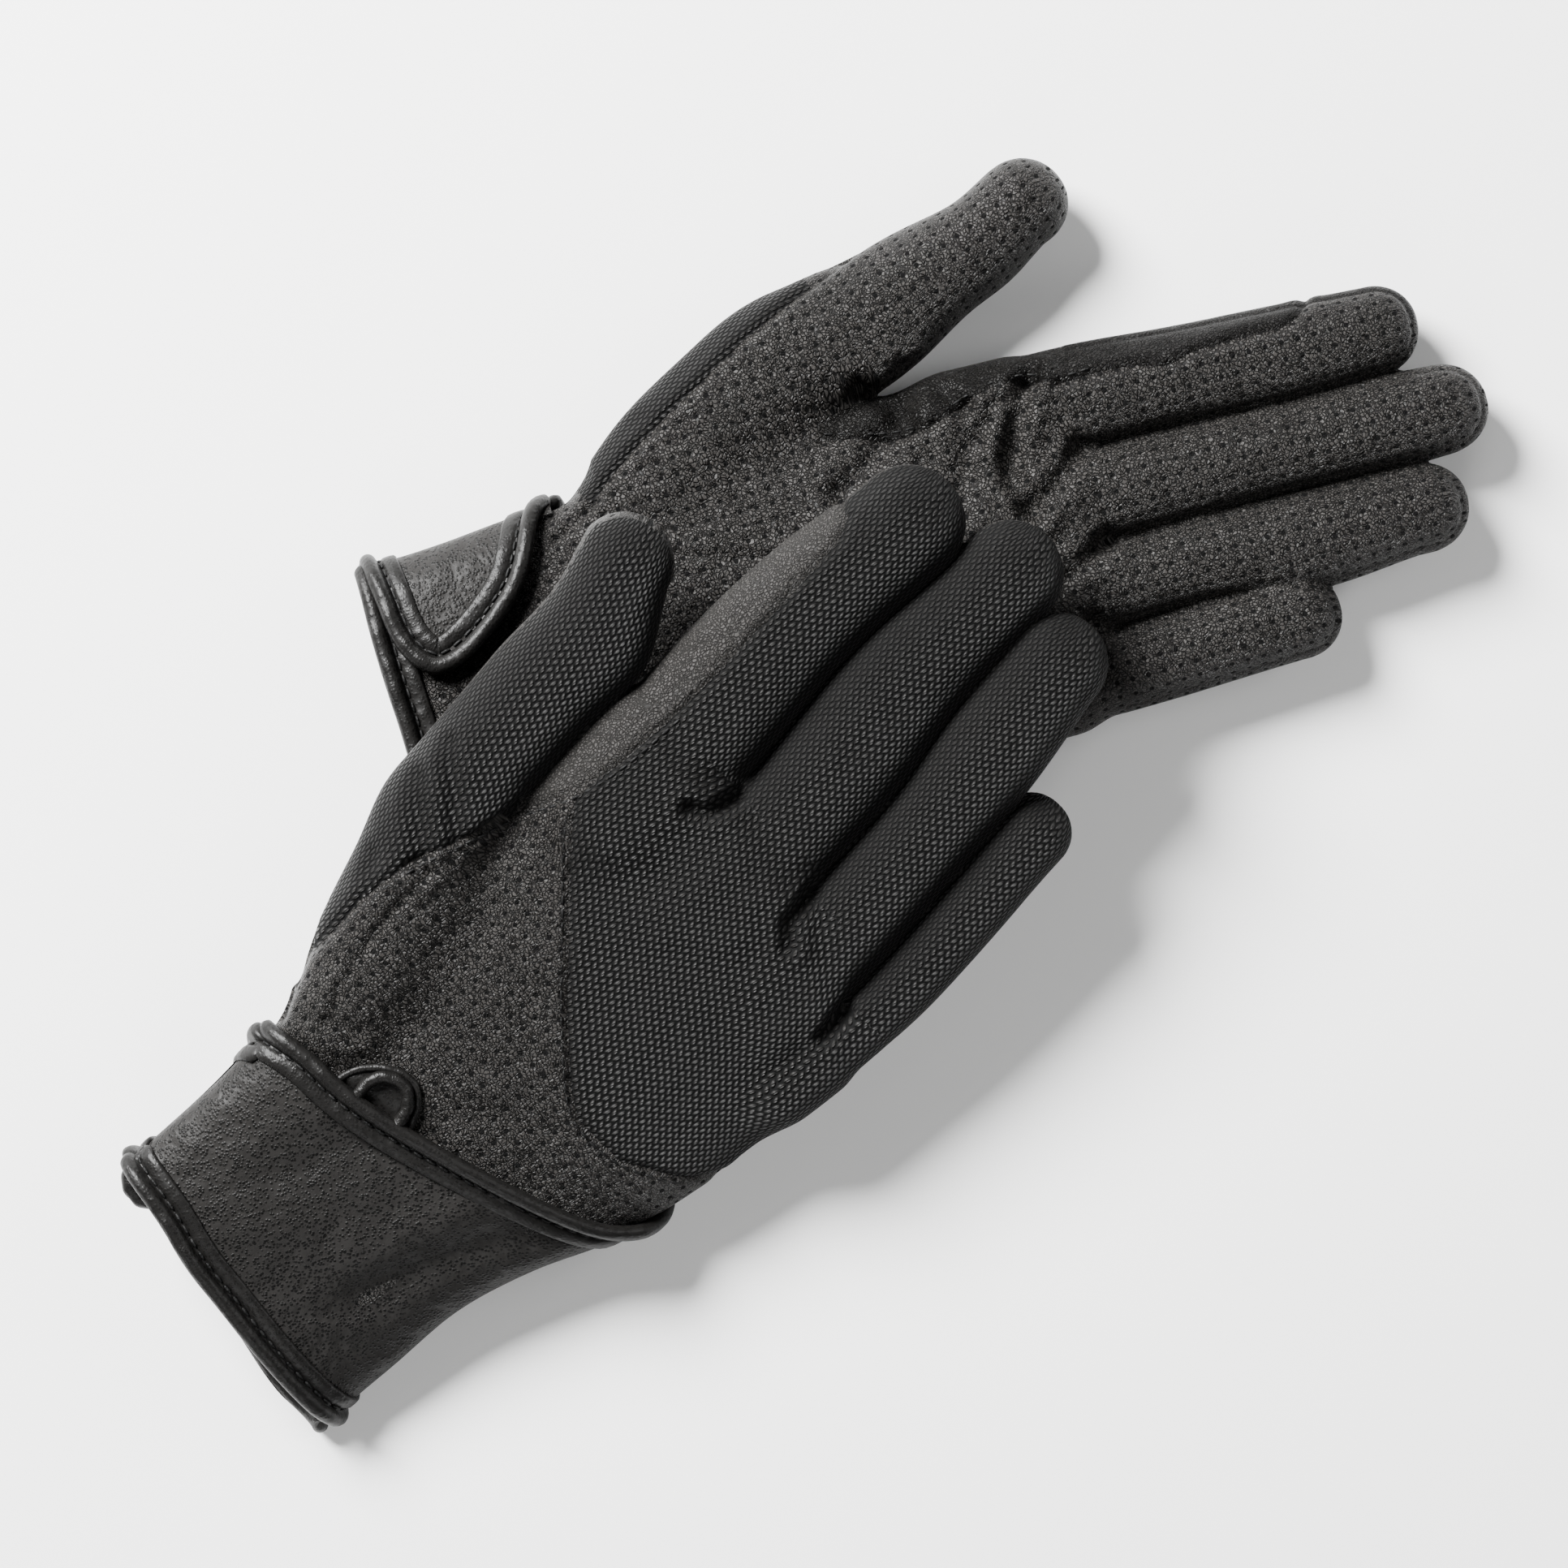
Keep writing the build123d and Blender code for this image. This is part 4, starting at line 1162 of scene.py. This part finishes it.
HEM = {
    "right": [
        (0.5, 37.5), (-1.7, 34.6), (-5.5, 23), (-8.5, 11.6), (-9.6, 0.5), (-11.1, -10.8), (-12.3, -22.7),
        (-13, -33.0)
    ],
    "left": [(-6.8, 33.5), (-6.6, 20), (-6.2, 8), (-6.0, 0), (-5.6, -12), (-5.2, -24), (-4.8, -33.5)],
}
PALM_HEM = {
    "right": [
        (-5.5, 30), (-8.6, 20), (-11.8, 4), (-15.0, -5), (-17.5, -14.8), (-19.0, -24.9), (-18.4, -30.5)
    ],
    "left": [
        (-4.5, 33.6), (-6.8, 29.7), (-7.0, 20), (-6.6, 7.7), (-6.1, -0.1), (-6.0, -14), (-5.8, -26),
        (-5.6, -33.5)
    ],
}
FLAP_EDGE = [
    (-3.3, 34.0), (-3.8, 26.3), (-3.3, 20.5), (-1.6, 14.7), (1.4, 10.6), (4.8, 8.6), (9.5, 9), (16.1, 12.3),
    (22.8, 17.2), (27.6, 21.9), (31.2, 28), (34.0, 34.5)
]
PATCH_EDGE = [(43.5, 19.0), (47.5, 18.4), (52.2, 14.8), (54.9, 10.1), (54.2, 6), (50.9, 3), (46.5, 1.2)]
PATCH_LOOP = [(43.1, 13.8), (47.5, 14.8), (51.2, 13.6), (53, 10.6), (52.9, 7.8), (50.2, 4.8), (46, 4.0)]


def cuff_dents(u, w):
    """Soft hollows in the cuff band."""
    waves = 0.3 * np.sin(u / 8.5 + 0.5) * np.sin(w / 9.0 + 0.8)
    hollow = -1.3 * np.exp(-(((w + 17 + 0.2 * u) / 4.5) ** 2)) * fade(u, 2, 16)
    ridge = 0.7 * np.exp(-(((w + 8 + 0.2 * u) / 5.0) ** 2)) * fade(u, 8, 20)
    hollow = hollow - 0.9 * np.exp(-(((w - 20 + 0.3 * u) / 6.0) ** 2)) * fade(u, 8, 22)
    edge = np.exp(-((u + 8) / 6.0) ** 2)
    return (waves + hollow + ridge) * (1 - 0.7 * edge) * (1 - fade(w, 22, 34))


def make_cuff(glove):
    name, body = glove.name, f"{glove.name}_glove"
    wrap = Wrap(glove)
    quarter = wrap.w[540]

    def laid(points, face):
        u, v = np.array(points, float).T
        table, rows = glove.hand_table
        off_edge = np.abs(v - np.interp(u, table, rows[:, 0])) < 0.97 * np.interp(u, table, rows[:, 1])
        return np.stack([u, wrap.around(v, u, face)], 1)[off_edge]

    hem = laid(HEM[name], 1)
    hem = np.concatenate([[[hem[0, 0] + 0.6, quarter + 1]], hem, [[hem[-1, 0] + 2.0, -quarter - 9]]])
    top = laid(CUFF_EDGE[name], 1)
    top = np.concatenate(
        [
            [[top[0, 0] - 3.0, quarter + 1]], top,
            [[top[-1, 0] + 7.0, -quarter - 2], [top[-1, 0] + 14, -quarter - 9]]
        ]
    )
    order_h, order_t = np.argsort(hem[:, 1]), np.argsort(top[:, 1])
    w = np.linspace(-quarter - 8, quarter + 4, 170)
    low = np.interp(w, hem[order_h, 1], hem[order_h, 0]) + 2.0
    high = np.interp(w, top[order_t, 1], top[order_t, 0]) - 2.0
    make_sheet(
        wrap, f"{name}_cuff_sheet", low, high, w, 1.25, "cuff", body, [f"{name}_cuff_band"], 90, cuff_dents
    )

    make_binding(wrap, f"{name}_cuff_top_roll", top, BINDING_PROFILE, 1.3, [f"{name}_cuff_binding"], body)
    make_binding(wrap, f"{name}_hem_roll", hem, BINDING_PROFILE, 1.3, [f"{name}_hem_binding"], body, side=-1)
    palm = laid(PALM_HEM[name], -1)
    palm = np.concatenate([[[palm[0, 0] - 0.5, quarter + 0.5]], palm])
    # the palm hem crosses the middle of the palm, where the laid-out wrist closes
    full = wrap.w[-1]
    palm[:, 1] = np.where(palm[:, 1] < 0, palm[:, 1] + 2 * full, palm[:, 1])
    palm = np.concatenate([palm, [[palm[-1, 0] + 1.5, 2 * full - quarter + 2.0]]])
    palm_wrap = Turned(wrap)
    make_binding(palm_wrap, f"{name}_palm_hem_roll", palm, BINDING_PROFILE, 0.5, [], body)

    for label, line, lift, side, turned in (
        ("cuff_top", top, 1.75, 1, wrap),
        ("hem", hem, 1.75, -1, wrap),
        ("palm_hem", palm, 0.95, 1, palm_wrap),
    ):
        make_stitches(glove, f"{name}_{label}_stitches", stitch_line(turned, line, side, -4.2, lift), body)

    # closure flap over its two fastening tapes
    def flap_lift(w):
        return 1.35 + 1.35 * fade(w, quarter + 0.5, quarter + 11)

    edge = laid(FLAP_EDGE, -1)
    edge = np.concatenate([[[hem[0, 0], quarter - 1.5]], edge, [[top[0, 0], quarter - 1.5]]])
    tip = int(np.argmax(edge[:, 1]))
    w = np.linspace(quarter + 0.5, edge[tip, 1] - 0.6, 70)
    lower_u = np.interp(w, edge[: tip + 1, 1], edge[: tip + 1, 0])
    upper_u = np.interp(w, edge[tip:][::-1, 1], edge[tip:][::-1, 0])
    inset = np.minimum(1.5, (upper_u - lower_u) / 2)
    flap = f"{name}_flap"
    make_sheet(
        wrap, f"{name}_flap_face", lower_u + inset, upper_u - inset, w, flap_lift, "cuff", flap,
        [f"{name}_closure_flap"], 50, lambda u, w: 0.25 * np.sin(u / 6.0) * np.sin(w / 7.0)
    )
    make_binding(wrap, f"{name}_flap_roll", edge, BINDING_PROFILE, flap_lift, [f"{name}_flap_binding"], flap)
    make_stitches(glove, f"{name}_flap_stitches", stitch_line(wrap, edge, 1, -4.2, flap_lift, 0.4), flap)
    inset = np.minimum(6.0, (upper_u - lower_u) / 2)
    trimmed = (w > quarter + 9) & (w < edge[tip, 1] - 6)
    pad = (lower_u + inset)[trimmed], (upper_u - inset)[trimmed], w[trimmed]
    make_sheet(wrap, f"{name}_loop_tape", *pad, 0.8, "pile", body, [f"{name}_loop_pad"], 20)
    make_sheet(wrap, f"{name}_hook_tape", *pad, 1.7, "pile", flap, [f"{name}_hook_pad"], 20)

    # half-moon patch and its loop
    rim = resample(laid(PATCH_EDGE, 1), 40)
    base = np.stack([np.full(40, 44.0), np.linspace(rim[0, 1], rim[-1, 1], 40)], 1)
    share = np.linspace(0, 1, 14)[:, None, None]
    area = base[None] * (1 - share) + rim[None] * share
    dome = 0.5 + 0.55 * np.sin(pi * np.clip(share[..., 0], 0, 1)) + np.zeros(area.shape[:2])
    points = wrap.at(area[..., 0], area[..., 1], dome)
    faces = grid_faces(14, 40)
    if glove.back < 0:
        faces = faces[:, ::-1]
    patch = mesh_object(
        f"{name}_half_moon", glove.place(points.reshape(-1, 3)), faces, None, area.reshape(-1, 2)
    )
    dress(patch, "binding", body, [f"{name}_half_moon_patch"])
    make_tube(
        glove, f"{name}_half_moon_rim", wrap.at(rim[:, 0], rim[:, 1], np.full(40, 0.75)), 0.85, "binding",
        body
    )
    cord = resample(laid(PATCH_LOOP, 1), 30)
    make_tube(
        glove, f"{name}_patch_cord", wrap.at(cord[:, 0], cord[:, 1], np.full(30, 1.9)), 1.35, "binding",
        body, [f"{name}_patch_loop"]
    )

    # hanging loop at the hem
    hem_u = -1.7 if name == "right" else 0.3
    ring = [
        (hem_u + 3, 33.4, 1.0), (hem_u - 2.0, 33.2, 1.6), (hem_u - 4.7, 31.6, 1.8),
        (hem_u - 5.4, 29.0, 1.8), (hem_u - 5.2, 26.4, 1.6), (hem_u - 3.0, 24.4, 1.2), (hem_u + 1, 24.0, 1.0)
    ]
    make_tube(glove, f"{name}_hem_cord", ring, 2.0, "binding", body, [f"{name}_hem_loop"])

    # inner face of the wrist
    w = np.linspace(-full, full, 200)
    u_hem = np.interp(w, hem[order_h, 1], hem[order_h, 0]) + 2.0
    inner = np.linspace(0, 1, 30)[:, None]
    u = u_hem[None] * (1 - inner) + (u_hem[None] + 45) * inner
    points = wrap.at(u, np.broadcast_to(w, u.shape), np.full(u.shape, -1.0))
    faces = grid_faces(30, 200)
    if glove.back > 0:
        faces = faces[:, ::-1]
    inside = mesh_object(
        f"{name}_inner_face", glove.place(points.reshape(-1, 3)), faces, None,
        np.stack([u, np.broadcast_to(w, u.shape)], -1).reshape(-1, 2)
    )
    dress(inside, "lining", body)


class Turned:
    """The same wrist laid out from the palm's side, past the half turn."""

    def __init__(self, wrap):
        self.wrap, self.glove = wrap, wrap.glove

    def at(self, u, w, lift):
        full = self.wrap.w[-1]
        return self.wrap.at(u, (w + full) % (2 * full) - full, lift)


def stitch_line(wrap, line, side, reach, lift, above=0.0):
    path = resample(line, 160)
    along = np.gradient(path, axis=0)
    along /= np.linalg.norm(along, axis=1)[:, None]
    across = side * np.stack([-along[:, 1], along[:, 0]], 1)
    place = path + across * reach
    return wrap.at(
        place[:, 0], place[:, 1], lift(place[:, 1]) + above if callable(lift) else np.full(len(place), lift)
    )


def seam_stitches(glove):
    """Stitches beside the seams of the hand."""
    name, body = glove.name, f"{glove.name}_glove"

    def row(label, line, face, offset):
        path = resample(line, 200)
        along = np.gradient(path, axis=0)
        along /= np.linalg.norm(along, axis=1)[:, None]
        path = path + offset * np.stack([-along[:, 1], along[:, 0]], 1)
        z = glove.height(path, face * glove.back)
        points = np.column_stack([path, z + face * glove.back * 0.02])
        make_stitches(glove, f"{name}_{label}_stitches", points, body, 2.0, 2.9, 0.32)

    row("yoke_seam", YOKE_SEAM[:-2], 1, -1.4)
    row("strip_seam", STRIP_SEAM_BACK[:5], 1, -1.2)
    row("palm_strip_seam", STRIP_SEAM_PALM[:9], -1, 1.2)
    row("gusset_seam", GUSSET_SEAM[1:-1], 1, 1.2)


GLOVES = {name: Glove(name) for name in ("left", "right")}
for glove in GLOVES.values():
    make_skin(glove)
    make_cuff(glove)
    seam_stitches(glove)

# ---- floor, light and camera ----
def plain_material(name, colour, roughness):
    made = bpy.data.materials.new(name)
    made.use_nodes = True
    shader = made.node_tree.nodes["Principled BSDF"]
    shader.inputs["Base Color"].default_value = (*colour, 1.0)
    shader.inputs["Roughness"].default_value = roughness
    return made


bpy.ops.mesh.primitive_plane_add(size=8.0, location=(0, 0, 0))
floor = bpy.context.object
floor.name = "floor"
floor.data.materials.append(plain_material("pale_floor", (0.93, 0.93, 0.925), 0.8))


def area_light(name, place, target, size, power):
    light = bpy.data.lights.new(name, "AREA")
    light.shape, light.size, light.energy = "DISK", size, power
    shown = bpy.data.objects.new(name, light)
    shown.location = place
    shown.rotation_euler = (Vector(target) - Vector(place)).to_track_quat("-Z", "Y").to_euler()
    bpy.context.scene.collection.objects.link(shown)


area_light("top_softbox", (-0.9, 0.9, 1.0), (0, 0, 0), 0.8, 190)
area_light("side_softbox", (1.2, 0.3, 0.9), (0, 0, 0), 0.8, 9)
area_light("front_softbox", (-0.2, -1.3, 1.0), (0, 0, 0), 0.8, 9)
world = bpy.data.worlds.new("studio") if bpy.context.scene.world is None else bpy.context.scene.world
bpy.context.scene.world = world
world.use_nodes = True
background = world.node_tree.nodes["Background"]
background.inputs["Color"].default_value = (1.0, 1.0, 1.0, 1.0)
background.inputs["Strength"].default_value = 0.14

FRAME_WIDTH = 0.3323  # seen across the picture at the gloves' middle height
LENS, SENSOR = 120.0, 36.0
camera = bpy.data.objects.new("camera", bpy.data.cameras.new("camera"))
camera.data.lens, camera.data.sensor_width = LENS, SENSOR
middle = GLOVES["left"].origin + Vector((0.075508, -0.013072, 0))
camera.location = (middle.x, middle.y, 0.022 + FRAME_WIDTH * LENS / SENSOR)
camera.rotation_euler = (0, 0, 0)
bpy.context.scene.collection.objects.link(camera)
bpy.context.scene.camera = camera
